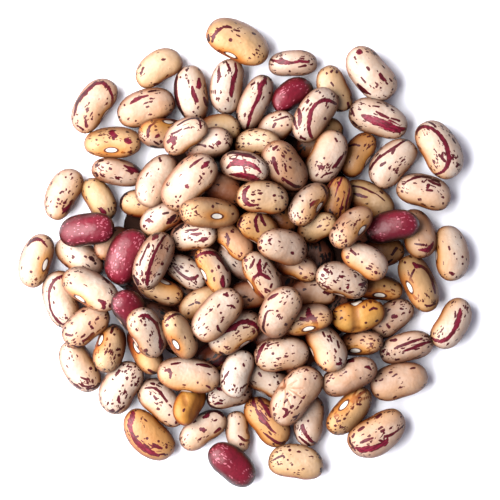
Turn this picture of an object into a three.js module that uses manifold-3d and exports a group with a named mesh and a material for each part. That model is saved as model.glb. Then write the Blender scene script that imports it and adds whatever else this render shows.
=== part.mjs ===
// A heap of dried speckled beans, tipped out and spread by hand: about 118 mm across and 25 mm high.
// The heap is one solid. A low core with a flat underside carries the beans, and each bean keeps its true
// size, with few sides, and is fused to the core or to the beans that it lies on.
// Millimetres, +Z up. The origin is at the middle of the heap, on the surface that it lies on.
import * as THREE from 'three';
import { mergeVertices } from 'three/addons/utils/BufferGeometryUtils.js';
import Module from 'manifold-3d';

// A bean: its length is end to end, its width from the eye to the back, its thickness across the
// two flat sides.
const MEAN_LENGTH = 14.2;
const LENGTH_SPREAD = 2.2;
const WIDTH_PER_LENGTH = 0.61;
const WIDTH_SPREAD = 0.035;
const THICKNESS_PER_WIDTH = 0.82;
const THICKNESS_SPREAD = 0.04;
const BLUNTNESS = 2.5; // power of the rounded ends: 2 is an ellipse
const BEND_LEAST = 0.1; // how far the ends bend towards the eye
const BEND_SPREAD = 0.6;
const STRAIGHT_AT = 0.35; // squared share of the half length where the bend crosses the middle line
const EYE_DENT = 0.07; // share of the half width lost at the eye
const EYE_HALF = 0.35; // half the dent's length, as a share of the half length
const SIDES = 7; // faces round a bean
const RINGS = 5; // faces along it
const SIDE_ALLOWANCE = 1.04; // flat sides stand out a little, so that they match the round bean's girth

// The heap: the height that bean centres are wanted at falls from the peak to a single layer at the edge.
const HEAP_MIDDLE = [1, 0.5];
const PEAK = 16.5;
const FLOOR_LEVEL = 3.6;
const MOUND_RADIUS = 46;
const MOUND_POWER = 1.15;
const SPREAD_RADIUS = 38; // beans without a place of their own lie within this
const SECOND_LAYER_RADIUS = 34;
const TOP_LAYER_RADIUS = 42;
const LAYER_DROP = 8; // beans laid by the rule under the upper ones stop this far below the wanted height
const FLOOR_SLACK = 0.6; // how far above its limit a bean may come to rest
const TOP_SLACK = 0.5;

// How a bean comes to rest: it is tried at nearby places, and the lowest one is kept.
const SEED = 9;
const PLACE_TRIES = 60;
const NEAR = 13; // neighbours further away than this cannot touch a bean
const FLOOR_REACH = 1;
const REACH = 1.2;
const TURN_REACH = 6;
const ROLL_REACH = 18;
const DRIFT_COST = 0.4; // height that a bean must gain for each millimetre it is moved
const FLOOR_GAP = 0.2; // room for the flat sides under a bean on the floor
const FILL_TRIES = 90;
const FILL_ROLL = 30;
const SHAKES = 14;
const SHAKE_REACH = 1.6;
const SHAKE_TURN = 15;
const SHAKE_FADE = 0.6; // the last shake is this much weaker than the first
const STEEPEST = 32; // degrees that a bean may slope
const POINTS_ALONG = [-0.6, 0, 0.6]; // places along a bean that must stay off its neighbours
const KEPT_CLEAR = 1; // room round a bean that has its own place
const MISSES = 35; // beans without a place, one after another, that end a filling

// The core under the beans
const CORE_BELOW = 4.8; // under the wanted height of bean centres
const CORE_EDGE = 1.7;
const CORE_RINGS = [0.3, 0.5, 0.7, 0.86, 1];
const EDGE_BEAN_FROM = 45;

// Beans that have their own place, as [x, y, heading, length, roll] in the order in which they are laid.
// A heading of 0 points along +X and the back of the bean is 90 degrees to its left; a roll lifts the back.
const ON_THE_FLOOR = [
  [-38.2, 37, 58, 15.5, -30], [-33.4, 27.5, 0, 14.8, -75], [-25.1, 36.4, 18, 15.2, 10],
  [-22, 46.4, 32, 13, 0], [-13.3, 40, 94, 14.5, 15], [-4.8, 41.6, 80, 14.2, 45],
  [-2, 53, -27, 17, -45], [1.6, 38.1, 66, 15, 50], [11.9, 47.5, 3, 12.5, 60],
  [11.2, 40, 25, 11.8, 20], [22.4, 41.1, 117, 12.5, 0], [31.5, 45, 130, 15.8, 0],
  [33.5, 33.6, -18, 15.5, 30], [36.6, 23, 52, 14.5, 15], [48, 26.2, -60, 16, 5],
  [44.2, 15.4, -20, 14.2, 0], [51.8, -0.2, -82, 14.2, -25], [43.6, -8, -60, 15.5, -65],
  [51.8, -17.9, 240, 14, 5], [40.4, -23.9, 20, 14, 50], [37.4, -16.4, 42, 12.5, 0],
  [38.6, -32.4, 15, 15, 0], [33.1, -45.4, 212, 16, 5], [26.1, -39.9, 228, 14.5, -55],
  [16.4, -42.4, 80, 13, 30], [12.9, -52.1, -3, 14.2, 5], [5.9, -42.6, -45, 14.5, 15],
  [-1.2, -44.2, 95, 10.8, 0], [-2.5, -52.4, -38, 14.2, 0], [-10.6, -44.9, 30, 13.5, 0],
  [-24.4, -45.9, 135, 15.5, 0], [-21.1, -38.1, -50, 14.5, 10], [-30.5, -34.8, 57, 15, 0],
  [-33.4, -24.9, 255, 13.5, -50], [-41.7, -28.6, 120, 14.5, 0], [-46.1, -11.9, 105, 15, 0],
  [-52.6, -2, 72, 14.2, -48], [-42.6, -1.4, -35, 14, 0], [-36.9, 13.4, -60, 12, 20],
  [-45, 15.1, 62, 14, 0], [-32.9, 20.1, -15, 13.5, 60], [-33.4, 2.1, 35, 11.5, 0],
];
const ROUND_THE_EDGE = [
  [-38.9, -19.4, 35, 13.5, 0], [-39, -10.3, -33, 16, -25], [-14.9, -38.9, 60, 11.5, 0],
  [-5.1, -36.1, 10, 13, 0], [4.9, -33.1, -25, 13, 0], [27.1, -32.2, 30, 15, 40],
  [34.9, -0.6, 20, 12.5, 0], [43.1, 3.6, -75, 13.5, -10], [29.4, 25.6, 60, 12.5, -35],
  [18.6, 28.6, 40, 13.5, 0], [7.4, 31.9, 45, 12.5, 0], [-7.6, 31.9, 0, 12.5, 0],
  [-21.4, 29.6, 185, 13.5, -38], [-25.1, 11.9, -10, 13.5, 0], [-39, 4.7, 8, 14.5, 0],
  [-25.6, -25.6, -65, 14, -55], [31.1, 13.9, -28, 14.5, 0], [16.9, 34.6, 55, 15.5, 10],
  [33.9, -8.9, -5, 12, -70], [29.6, -23.4, 0, 12.5, -50], [14.1, -26.4, 40, 12, 0],
];
const BETWEEN = [
  [-5.9, 15.6, -30, 13, 0], [22.4, 13.1, 80, 12.5, 0], [7.9, 8.9, -25, 12, -40],
  [16.6, -9.9, 0, 12.5, 0], [0.6, -10.9, 10, 12, 0], [-3.1, 2.4, -50, 12, 0],
  [-20.4, 8.4, 30, 12.5, 0], [-14.4, -4.4, -35, 12.5, 0], [-11.4, -11.9, 30, 12.5, 0],
  [-6.9, -3.9, -60, 12.5, -35], [-12.1, 3.9, 12, 13.4, 0], [2.4, 4.9, -28, 12.5, 0],
  [2.9, -5.4, -55, 14, 0], [11.9, -4.6, -20, 11.5, 0], [2.4, 28.1, -3, 12, 0],
  [-8.1, 26.1, 30, 13.4, 0], [18.1, 7.4, 25, 11.5, 0],
];
const ON_TOP = [
  [-29.6, -13.9, -60, 13, 0], [-30.6, -1.9, 65, 15, 0], [-20.4, -10.1, 160, 12.5, -50],
  [-23.6, -2.4, 70, 16, 45], [-24.9, -19.4, -62, 14.5, -38], [-17.4, -19.9, -65, 14, -42],
  [-15.1, -29.6, -5, 16, -10], [-2.9, -30.1, 75, 12.5, 0], [-13.9, 28.6, 35, 13, 0],
  [-21.4, 18.6, 62, 15, 0], [-13.4, 17.4, 42, 17, 0], [36.6, 6.4, 12, 14, 0],
  [12.1, -35.6, 58, 17, 0], [21.1, -23.9, -67, 15, 0], [28.8, -15.9, 185, 13.5, -38],
  [22.9, -7.9, -22, 14, 0], [28.6, -2.9, -32, 12.5, 0], [9.1, -25.1, 12, 14, 0],
  [-3.4, -19.4, 38, 15, -40], [21.1, 23.1, 242, 14.5, 0], [9.4, 22.4, 132, 15.5, 0],
  [0.6, 21.1, -5, 13.5, 60], [16.4, -17.4, 20, 12.5, -35], [25.6, 5.4, 52, 14, -42],
  [14.6, 11.6, 58, 13.5, -38], [3.1, 13.9, -5, 13.5, 0], [8.1, 1.9, -15, 14, 0],
  [-8.9, 9.9, -5, 16, -70], [7.9, -13.9, 62, 15, 0], [-7.9, -14.4, 50, 15.5, 0],
];

// Balls that stand for a bean where it touches its neighbours: [place along the half length, share
// of the girth].
const BALLS_ALONG = [[-0.6, 0.8], [-0.33, 0.97], [0, 1], [0.33, 0.97], [0.6, 0.8]];
const BALL_SHARE = 0.9; // a little under true size, so that beans that touch are fused

const radians = THREE.MathUtils.degToRad;
const rounded = (value, step) => Math.floor(value / step + 0.5) * step;

// The one seeded draw that every free choice uses: a number from 0 up to 1.
let drawState = SEED;
function draw() {
  drawState = (drawState * 1664525 + 1013904223) % 4294967296;
  return drawState / 4294967296;
}
const swing = (reach) => (2 * draw() - 1) * reach;

function makeBean(length) {
  const width = length * (WIDTH_PER_LENGTH + swing(WIDTH_SPREAD));
  const thickness = width * (THICKNESS_PER_WIDTH + swing(THICKNESS_SPREAD));
  const bend = BEND_LEAST + BEND_SPREAD * draw();
  const bean = { a: length / 2, b: width / 2, c: thickness / 2, bend };
  bean.balls = BALLS_ALONG.flatMap(([along, girth]) => [-1, 1].map((side) => ({
    s: along * bean.a,
    t: side * (bean.b - bean.c) * girth + bend * (STRAIGHT_AT - along * along),
    r: bean.c * girth * BALL_SHARE,
    floor: bean.c * girth + FLOOR_GAP,
  })));
  return bean;
}

// The bean's own axes in the heap: x along it, y towards its back, z across its flat sides.
function beanAxes({ heading, pitch, roll }) {
  const [ch, sh, cp, sp] = [Math.cos(heading), Math.sin(heading), Math.cos(pitch), Math.sin(pitch)];
  const level = [-sh, ch, 0];
  const above = [-ch * sp, -sh * sp, cp];
  return {
    x: [ch * cp, sh * cp, sp],
    y: level.map((v, i) => v * Math.cos(roll) + above[i] * Math.sin(roll)),
    z: level.map((v, i) => above[i] * Math.cos(roll) - v * Math.sin(roll)),
  };
}

function ballsAt(bean, pose) {
  const { x, y } = beanAxes(pose);
  return bean.balls.map(({ s, t, r, floor }) => ({
    s,
    r,
    floor,
    x: pose.x + s * x[0] + t * y[0],
    y: pose.y + s * x[1] + t * y[1],
    dz: s * x[2] + t * y[2],
  }));
}

const laid = [];

// The least height of each ball's centre, over the balls of the beans that are already there.
function heightsNeeded(balls, near) {
  return balls.map((ball) => {
    let height = ball.floor;
    for (const other of near) {
      const dx = ball.x - other.x;
      const dy = ball.y - other.y;
      const gap = ball.r + other.r;
      const squared = dx * dx + dy * dy;
      if (squared < gap * gap) height = Math.max(height, other.z + Math.sqrt(gap * gap - squared));
    }
    return height;
  });
}

// The slope at which a bean lies on the heights under it, carried on both sides of its middle.
function restingSlope(balls, heights) {
  const points = balls.map((ball, i) => ({ s: ball.s, h: heights[i] }));
  const left = points.filter((p) => p.s < 0);
  const right = points.filter((p) => p.s > 0);
  let level = Math.max(...points.filter((p) => p.s === 0).map((p) => p.h));
  for (const p of left) {
    for (const q of right) level = Math.max(level, p.h + ((q.h - p.h) * -p.s) / (q.s - p.s));
  }
  const least = Math.max(...right.map((q) => (q.h - level) / q.s));
  const most = Math.min(...left.map((p) => (p.h - level) / p.s));
  const slope = Math.abs(least) < Math.abs(most) ? least : most;
  const steepest = Math.sin(radians(STEEPEST));
  return Math.min(steepest, Math.max(-steepest, slope));
}

// Lets a bean down at a place until it rests, and gives its whole pose.
function restAt(bean, x, y, heading, roll) {
  const near = [];
  for (const other of laid) {
    for (const ball of other.placed) {
      if (Math.abs(ball.x - x) < NEAR && Math.abs(ball.y - y) < NEAR) near.push(ball);
    }
  }
  const pose = { x, y, z: 0, heading, pitch: 0, roll };
  for (let pass = 0; pass < 2; pass += 1) {
    const balls = ballsAt(bean, pose);
    const needed = heightsNeeded(balls, near);
    const climb = Math.sin(pose.pitch);
    const heights = needed.map((h, i) => h - (balls[i].dz - balls[i].s * climb));
    pose.pitch = rounded(Math.asin(restingSlope(balls, heights)), 1e-4);
  }
  const balls = ballsAt(bean, pose);
  const needed = heightsNeeded(balls, near);
  pose.z = rounded(Math.max(...needed.map((h, i) => h - balls[i].dz)), 1e-4);
  return pose;
}

function lay(bean, found, ownPlace) {
  const pose = { ...found, heading: rounded(found.heading, 1e-3), roll: rounded(found.roll, 1e-3) };
  for (const key of ['x', 'y', 'z']) pose[key] = rounded(found[key], 0.01);
  const around = ballsAt(bean, pose);
  const placed = around.map((ball) => ({ x: ball.x, y: ball.y, z: pose.z + ball.dz, r: ball.r }));
  laid.push({ bean, pose, placed, ownPlace });
}

// A bean with its own place is laid there, or just beside it where it sinks lower.
function layNear([x, y, heading, length, roll], reach) {
  const bean = makeBean(length);
  let best = restAt(bean, x, y, radians(heading), radians(roll));
  let leastCost = best.z;
  for (let i = 0; i < PLACE_TRIES; i += 1) {
    const dx = swing(reach);
    const dy = swing(reach);
    const turned = radians(heading + swing(TURN_REACH));
    const rolled = radians(roll + swing(ROLL_REACH));
    const pose = restAt(bean, x + dx, y + dy, turned, rolled);
    const cost = pose.z + DRIFT_COST * Math.sqrt(dx * dx + dy * dy);
    if (cost < leastCost) [best, leastCost] = [pose, cost];
  }
  lay(bean, best, true);
}

// Whether a bean at this place would hide one that has its own place.
function hidesOne(bean, { x, y, heading }) {
  return POINTS_ALONG.some((share) => {
    const px = x + Math.cos(heading) * share * bean.a;
    const py = y + Math.sin(heading) * share * bean.a;
    return laid.some((other) => {
      if (!other.ownPlace) return false;
      const [c, s] = [Math.cos(other.pose.heading), Math.sin(other.pose.heading)];
      const [dx, dy] = [px - other.pose.x, py - other.pose.y];
      const along = (dx * c + dy * s) / (other.bean.a + KEPT_CLEAR);
      const across = (dy * c - dx * s) / (other.bean.b + KEPT_CLEAR);
      return along * along + across * across < 1;
    });
  });
}

function shakeDown(bean, start) {
  let best = start;
  for (let i = 0; i < SHAKES; i += 1) {
    const fade = 1 - (SHAKE_FADE * i) / SHAKES;
    const x = best.x + swing(SHAKE_REACH * fade);
    const y = best.y + swing(SHAKE_REACH * fade);
    const heading = best.heading + radians(swing(SHAKE_TURN * fade));
    const roll = best.roll + radians(swing(SHAKE_TURN * fade));
    const pose = restAt(bean, x, y, heading, roll);
    if (pose.z < best.z) best = pose;
  }
  return best;
}

// Lays beans at the deepest free places within a radius, as long as they stay under a height.
function fill(limit, radius, keepClear) {
  let misses = 0;
  while (misses < MISSES) {
    const bean = makeBean(MEAN_LENGTH + LENGTH_SPREAD * (draw() + draw() - 1));
    const roll = radians(swing(FILL_ROLL));
    let best = null;
    let deepest = Infinity;
    for (let i = 0; i < FILL_TRIES; i += 1) {
      const out = radius * Math.sqrt(draw());
      const round = 2 * Math.PI * draw();
      const heading = 2 * Math.PI * draw();
      const x = HEAP_MIDDLE[0] + out * Math.cos(round);
      const y = HEAP_MIDDLE[1] + out * Math.sin(round);
      if (keepClear && hidesOne(bean, { x, y, heading })) continue;
      const pose = restAt(bean, x, y, heading, roll);
      const depth = rounded(pose.z - limit(x, y), 1e-4);
      if (depth < deepest) [best, deepest] = [pose, depth];
    }
    if (best) best = shakeDown(bean, best);
    if (!best || best.z > limit(best.x, best.y) || (keepClear && hidesOne(bean, best))) misses += 1;
    else lay(bean, best, false);
  }
}

function wantedHeight(x, y) {
  const dx = (x - HEAP_MIDDLE[0]) / MOUND_RADIUS;
  const dy = (y - HEAP_MIDDLE[1]) / MOUND_RADIUS;
  const inside = Math.max(0, 1 - dx * dx - dy * dy);
  return FLOOR_LEVEL + (PEAK - FLOOR_LEVEL) * Math.pow(inside, MOUND_POWER);
}

function layHeap() {
  ON_THE_FLOOR.forEach((row) => layNear(row, FLOOR_REACH));
  ROUND_THE_EDGE.forEach((row) => layNear(row, REACH));
  fill(() => FLOOR_LEVEL + FLOOR_SLACK, SPREAD_RADIUS, true);
  fill((x, y) => wantedHeight(x, y) - LAYER_DROP, SECOND_LAYER_RADIUS, false);
  BETWEEN.forEach((row) => layNear(row, REACH));
  ON_TOP.forEach((row) => layNear(row, REACH));
  fill((x, y) => wantedHeight(x, y) + TOP_SLACK, TOP_LAYER_RADIUS, true);
}

// One bean: a sphere drawn out along x, with blunt ends, bent towards the eye and dented there.
function beanGeometry({ bean, pose }) {
  const geometry = new THREE.SphereGeometry(1, SIDES, RINGS);
  const axes = beanAxes(pose);
  const points = geometry.attributes.position;
  for (let i = 0; i < points.count; i += 1) {
    const along = Math.max(-1, Math.min(1, points.getY(i)));
    const radius = Math.sqrt(Math.max(0, 1 - along * along));
    const girth = Math.pow(Math.max(0, 1 - Math.pow(Math.abs(along), BLUNTNESS)), 1 / BLUNTNESS);
    const turn = radius > 1e-6 ? [points.getX(i) / radius, points.getZ(i) / radius] : [0, 0];
    const dent = turn[0] < 0 ? 1 - EYE_DENT * Math.exp(-Math.pow(along / EYE_HALF, 2)) : 1;
    const local = [
      along * bean.a,
      turn[0] * girth * bean.b * dent * SIDE_ALLOWANCE + bean.bend * (STRAIGHT_AT - along * along),
      -turn[1] * girth * bean.c * SIDE_ALLOWANCE,
    ];
    const world = [pose.x, pose.y, pose.z].map(
      (start, k) => start + local[0] * axes.x[k] + local[1] * axes.y[k] + local[2] * axes.z[k],
    );
    points.setXYZ(i, world[0], world[1], world[2]);
  }
  return geometry;
}

// The core: its outline runs from edge bean to edge bean, under their middles.
function coreGeometry() {
  const edge = laid
    .map(({ pose }) => ({ angle: Math.atan2(pose.y, pose.x), radius: Math.hypot(pose.x, pose.y) }))
    .filter(({ radius }) => radius > EDGE_BEAN_FROM)
    .sort((p, q) => p.angle - q.angle);
  const corners = [0, 0, wantedHeight(0, 0) - CORE_BELOW];
  for (const share of CORE_RINGS) {
    for (const { angle, radius } of edge) {
      const x = share * radius * Math.cos(angle);
      const y = share * radius * Math.sin(angle);
      corners.push(x, y, Math.max(CORE_EDGE, wantedHeight(x, y) - CORE_BELOW));
    }
  }
  const count = edge.length;
  const base = corners.length / 3;
  for (const { angle, radius } of edge) corners.push(radius * Math.cos(angle), radius * Math.sin(angle), 0);
  corners.push(0, 0, 0);
  const middle = base + count;
  const faces = [];
  for (let i = 0; i < count; i += 1) {
    const next = (i + 1) % count;
    faces.push(0, 1 + i, 1 + next);
    for (let ring = 1; ring < CORE_RINGS.length; ring += 1) {
      const inner = 1 + (ring - 1) * count;
      const outer = inner + count;
      faces.push(inner + i, outer + i, outer + next, inner + i, outer + next, inner + next);
    }
    const rim = 1 + (CORE_RINGS.length - 1) * count;
    faces.push(rim + i, base + i, base + next, rim + i, base + next, rim + next);
    faces.push(middle, base + next, base + i);
  }
  const geometry = new THREE.BufferGeometry();
  geometry.setAttribute('position', new THREE.Float32BufferAttribute(corners, 3));
  geometry.setIndex(faces);
  return geometry;
}

const wasm = await Module();
wasm.setup();

function toSolid(geometry) {
  geometry.deleteAttribute('normal');
  geometry.deleteAttribute('uv');
  const merged = mergeVertices(geometry);
  const triVerts = new Uint32Array(merged.index.array);
  const vertProperties = merged.attributes.position.array;
  return new wasm.Manifold(new wasm.Mesh({ numProp: 3, vertProperties, triVerts }));
}

function toGeometry(solid) {
  const { vertProperties, triVerts } = solid.getMesh();
  const geometry = new THREE.BufferGeometry();
  geometry.setAttribute('position', new THREE.BufferAttribute(vertProperties, 3));
  geometry.setIndex(new THREE.BufferAttribute(triVerts, 1));
  geometry.computeVertexNormals();
  return geometry;
}

// Whether any of a bean can be seen from above: a ball of it that no later bean covers.
function shows(one, order) {
  const later = laid.slice(order + 1).flatMap((other) => other.placed);
  return one.placed.some((ball) => !later.some((other) => {
    const dx = other.x - ball.x;
    const dy = other.y - ball.y;
    return other.z > ball.z && dx * dx + dy * dy < other.r * other.r;
  }));
}

// Joins the core and the beans that show. Of what comes out, the one outer body is kept: sealed hollows are
// filled and loose scraps dropped.
function fuseHeap() {
  const showing = laid.filter(shows);
  const joined = showing.reduce((sum, one) => sum.add(toSolid(beanGeometry(one))), toSolid(coreGeometry()));
  const bodies = joined.decompose().sort((p, q) => q.volume() - p.volume());
  return bodies[0];
}

layHeap();
const heap = new THREE.Group();
const coat = new THREE.MeshStandardMaterial({ color: 0xe6c9a8, roughness: 0.45, metalness: 0 });
const beans = new THREE.Mesh(toGeometry(fuseHeap()), coat);
beans.name = 'bean_heap';
heap.add(beans);

export default heap;
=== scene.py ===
import math

import bpy
import numpy as np
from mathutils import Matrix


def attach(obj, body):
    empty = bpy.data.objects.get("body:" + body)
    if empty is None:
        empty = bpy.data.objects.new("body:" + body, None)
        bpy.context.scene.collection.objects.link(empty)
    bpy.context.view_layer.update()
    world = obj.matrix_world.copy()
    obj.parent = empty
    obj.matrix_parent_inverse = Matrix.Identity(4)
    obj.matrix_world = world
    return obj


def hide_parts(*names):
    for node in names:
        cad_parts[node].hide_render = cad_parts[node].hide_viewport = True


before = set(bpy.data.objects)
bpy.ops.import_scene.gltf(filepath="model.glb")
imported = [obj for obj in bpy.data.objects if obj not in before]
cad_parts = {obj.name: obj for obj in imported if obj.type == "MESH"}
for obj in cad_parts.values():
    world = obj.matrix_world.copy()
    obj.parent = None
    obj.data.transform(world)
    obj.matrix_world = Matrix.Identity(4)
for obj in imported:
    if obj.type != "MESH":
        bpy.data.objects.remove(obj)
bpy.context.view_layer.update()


# --- How the beans lie -------------------------------------------------------------------------
# Dried beans tipped out and spread by hand. Each is let down at its place until it rests on the
# floor or on its neighbours, as in the solid that the pieces below replace. Sizes here are in mm.
MEAN_LENGTH = 14.2
LENGTH_SPREAD = 2.2
WIDTH_PER_LENGTH = 0.61
WIDTH_SPREAD = 0.035
THICKNESS_PER_WIDTH = 0.82
THICKNESS_SPREAD = 0.04
BEND_LEAST = 0.1
BEND_SPREAD = 0.6
STRAIGHT_AT = 0.35

HEAP_MIDDLE = (1, 0.5)
PEAK = 16.5
FLOOR_LEVEL = 3.6
MOUND_RADIUS = 46
MOUND_POWER = 1.15
SPREAD_RADIUS = 38
SECOND_LAYER_RADIUS = 34
TOP_LAYER_RADIUS = 42
LAYER_DROP = 8
FLOOR_SLACK = 0.6
TOP_SLACK = 0.5

SEED = 9
PLACE_TRIES = 60
NEAR = 13
FLOOR_REACH = 1
REACH = 1.2
TURN_REACH = 6
ROLL_REACH = 18
DRIFT_COST = 0.4
FLOOR_GAP = 0.2
FILL_TRIES = 90
FILL_ROLL = 30
SHAKES = 14
SHAKE_REACH = 1.6
SHAKE_TURN = 15
SHAKE_FADE = 0.6
STEEPEST = 32
KEPT_CLEAR = 1
MISSES = 35
BALLS_ALONG = ((-0.6, 0.8), (-0.33, 0.97), (0, 1), (0.33, 0.97), (0.6, 0.8))
BALL_SHARE = 0.9
POINTS_ALONG = (-0.6, 0, 0.6)
SETTLES = 2
FINE_STEP = 1e-4
TURN_STEP = 1e-3
PLACE_STEP = 0.01

# Draws are made by a plain linear congruential rule, so that each run gives the same heap.
DRAW_TIMES = 1664525
DRAW_PLUS = 1013904223
DRAW_RANGE = 4294967296

# Beans that have their own place: x, y, heading, length, roll and the coat. The back of a bean is
# to the left of its heading, and a roll in degrees lifts it. The coat is the kind of bean, and from
# 0 to 9 how tan it is, how warm toward its eye and how much it is flecked. The kinds are c flecked,
# s streaked, b banded, a amber, t striped tan, r dark red, m mustard and w wrinkled.
ON_THE_FLOOR = (
    (-38.2, 37, 58, 15.5, -30, "b624"), (-33.4, 27.5, 0, 14.8, -75, "a473"),
    (-25.1, 36.4, 18, 15.2, 10, "c633"), (-22, 46.4, 32, 13, 0, "a352"), (-13.3, 40, 94, 14.5, 15, "s343"),
    (-4.8, 41.6, 80, 14.2, 45, "s342"), (-2, 53, -27, 17, -45, "a582"), (1.6, 38.1, 66, 15, 50, "s431"),
    (11.9, 47.5, 3, 12.5, 60, "s423"), (11.2, 40, 25, 11.8, 20, "r555"), (22.4, 41.1, 117, 12.5, 0, "a531"),
    (31.5, 45, 130, 15.8, 0, "c322"), (33.5, 33.6, -18, 15.5, 30, "s423"), (36.6, 23, 52, 14.5, 15, "s422"),
    (48, 26.2, -60, 16, 5, "b344"), (44.2, 15.4, -20, 14.2, 0, "b543"), (51.8, -0.2, -82, 14.2, -25, "c362"),
    (43.6, -8, -60, 15.5, -65, "a673"), (51.8, -17.9, 240, 14, 5, "b352"), (40.4, -23.9, 20, 14, 50, "s614"),
    (37.4, -16.4, 42, 12.5, 0, "c614"), (38.6, -32.4, 15, 15, 0, "c732"), (33.1, -45.4, 212, 16, 5, "b645"),
    (26.1, -39.9, 228, 14.5, -55, "a685"), (16.4, -42.4, 80, 13, 30, "s443"),
    (12.9, -52.1, -3, 14.2, 5, "a543"), (5.9, -42.6, -45, 14.5, 15, "t663"),
    (-1.2, -44.2, 95, 10.8, 0, "c543"), (-2.5, -52.4, -38, 14.2, 0, "r555"),
    (-10.6, -44.9, 30, 13.5, 0, "c432"), (-24.4, -45.9, 135, 15.5, 0, "t772"),
    (-21.1, -38.1, -50, 14.5, 10, "s334"), (-30.5, -34.8, 57, 15, 0, "c315"),
    (-33.4, -24.9, 255, 13.5, -50, "a435"), (-41.7, -28.6, 120, 14.5, 0, "b452"),
    (-46.1, -11.9, 105, 15, 0, "b352"), (-52.6, -2, 72, 14.2, -48, "c243"), (-42.6, -1.4, -35, 14, 0, "c343"),
    (-36.9, 13.4, -60, 12, 20, "a731"), (-45, 15.1, 62, 14, 0, "c553"), (-32.9, 20.1, -15, 13.5, 60, "s645"),
    (-33.4, 2.1, 35, 11.5, 0, "c732"),
)
ROUND_THE_EDGE = (
    (-38.9, -19.4, 35, 13.5, 0, "c635"), (-39, -10.3, -33, 16, -25, "c232"),
    (-14.9, -38.9, 60, 11.5, 0, "m990"), (-5.1, -36.1, 10, 13, 0, "b334"), (4.9, -33.1, -25, 13, 0, "s222"),
    (27.1, -32.2, 30, 15, 40, "c732"), (34.9, -0.6, 20, 12.5, 0, "a732"), (43.1, 3.6, -75, 13.5, -10, "c842"),
    (29.4, 25.6, 60, 12.5, -35, "t932"), (18.6, 28.6, 40, 13.5, 0, "a841"), (7.4, 31.9, 45, 12.5, 0, "c512"),
    (-7.6, 31.9, 0, 12.5, 0, "a641"), (-21.4, 29.6, 185, 13.5, -38, "s573"),
    (-25.1, 11.9, -10, 13.5, 0, "a471"), (-39, 4.7, 8, 14.5, 0, "r555"), (-25.6, -25.6, -65, 14, -55, "a471"),
    (31.1, 13.9, -28, 14.5, 0, "a742"), (16.9, 34.6, 55, 15.5, 10, "b432"), (33.9, -8.9, -5, 12, -70, "a962"),
    (29.6, -23.4, 0, 12.5, -50, "c654"), (14.1, -26.4, 40, 12, 0, "c621"),
)
BETWEEN = (
    (-5.9, 15.6, -30, 13, 0, "c822"), (22.4, 13.1, 80, 12.5, 0, "t951"), (7.9, 8.9, -25, 12, -40, "a752"),
    (16.6, -9.9, 0, 12.5, 0, "c633"), (0.6, -10.9, 10, 12, 0, "c732"), (-3.1, 2.4, -50, 12, 0, "c933"),
    (-20.4, 8.4, 30, 12.5, 0, "s343"), (-14.4, -4.4, -35, 12.5, 0, "s216"),
    (-11.4, -11.9, 30, 12.5, 0, "a473"), (-6.9, -3.9, -60, 12.5, -35, "b471"),
    (-12.1, 3.9, 12, 13.4, 0, "s234"), (2.4, 4.9, -28, 12.5, 0, "t263"), (2.9, -5.4, -55, 14, 0, "s534"),
    (11.9, -4.6, -20, 11.5, 0, "c652"), (2.4, 28.1, -3, 12, 0, "a456"), (-8.1, 26.1, 30, 13.4, 0, "c422"),
    (18.1, 7.4, 25, 11.5, 0, "a651"),
)
ON_TOP = (
    (-29.6, -13.9, -60, 13, 0, "r555"), (-30.6, -1.9, 65, 15, 0, "r555"),
    (-20.4, -10.1, 160, 12.5, -50, "a293"), (-23.6, -2.4, 70, 16, 45, "s425"),
    (-24.9, -19.4, -62, 14.5, -38, "b233"), (-17.4, -19.9, -65, 14, -42, "a343"),
    (-15.1, -29.6, -5, 16, -10, "c551"), (-2.9, -30.1, 75, 12.5, 0, "c113"), (-13.9, 28.6, 35, 13, 0, "s523"),
    (-21.4, 18.6, 62, 15, 0, "c422"), (-13.4, 17.4, 42, 17, 0, "c522"), (36.6, 6.4, 12, 14, 0, "r555"),
    (12.1, -35.6, 58, 17, 0, "w633"), (21.1, -23.9, -67, 15, 0, "c352"),
    (28.8, -15.9, 185, 13.5, -38, "m153"), (22.9, -7.9, -22, 14, 0, "c326"),
    (28.6, -2.9, -32, 12.5, 0, "c562"), (9.1, -25.1, 12, 14, 0, "s534"), (-3.4, -19.4, 38, 15, -40, "b054"),
    (21.1, 23.1, 242, 14.5, 0, "s423"), (9.4, 22.4, 132, 15.5, 0, "b822"), (0.6, 21.1, -5, 13.5, 60, "s323"),
    (16.4, -17.4, 20, 12.5, -35, "s453"), (25.6, 5.4, 52, 14, -42, "c645"),
    (14.6, 11.6, 58, 13.5, -38, "b354"), (3.1, 13.9, -5, 13.5, 0, "a355"), (8.1, 1.9, -15, 14, 0, "c523"),
    (-8.9, 9.9, -5, 16, -70, "a352"), (7.9, -13.9, 62, 15, 0, "b542"), (-7.9, -14.4, 50, 15.5, 0, "c442"),
)
RULE_LAID_KINDS = "cccsscabt"

draw_state = SEED


def draw():
    """The next draw, from 0 to 1."""
    global draw_state
    draw_state = (draw_state * DRAW_TIMES + DRAW_PLUS) % DRAW_RANGE
    return draw_state / DRAW_RANGE


def swing(reach):
    """A draw that lies between minus and plus the reach."""
    return (2 * draw() - 1) * reach


def rounded(value, step):
    """The value to the nearest step, so that the last digits of a sum don't decide where a bean lies."""
    return math.floor(value / step + 0.5) * step


def make_bean(length, kind):
    """A bean's half sizes and bend, and the balls along its two sides that it rests on."""
    width = length * (WIDTH_PER_LENGTH + swing(WIDTH_SPREAD))
    thickness = width * (THICKNESS_PER_WIDTH + swing(THICKNESS_SPREAD))
    bend = BEND_LEAST + BEND_SPREAD * draw()
    a, b, c = length / 2, width / 2, thickness / 2
    balls = [
        (along * a, side * (b - c) * girth + bend * (STRAIGHT_AT - along * along), c * girth)
        for along, girth in BALLS_ALONG
        for side in (-1, 1)
    ]
    return {"a": a, "b": b, "c": c, "bend": bend, "kind": kind, "balls": np.array(balls)}


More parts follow.
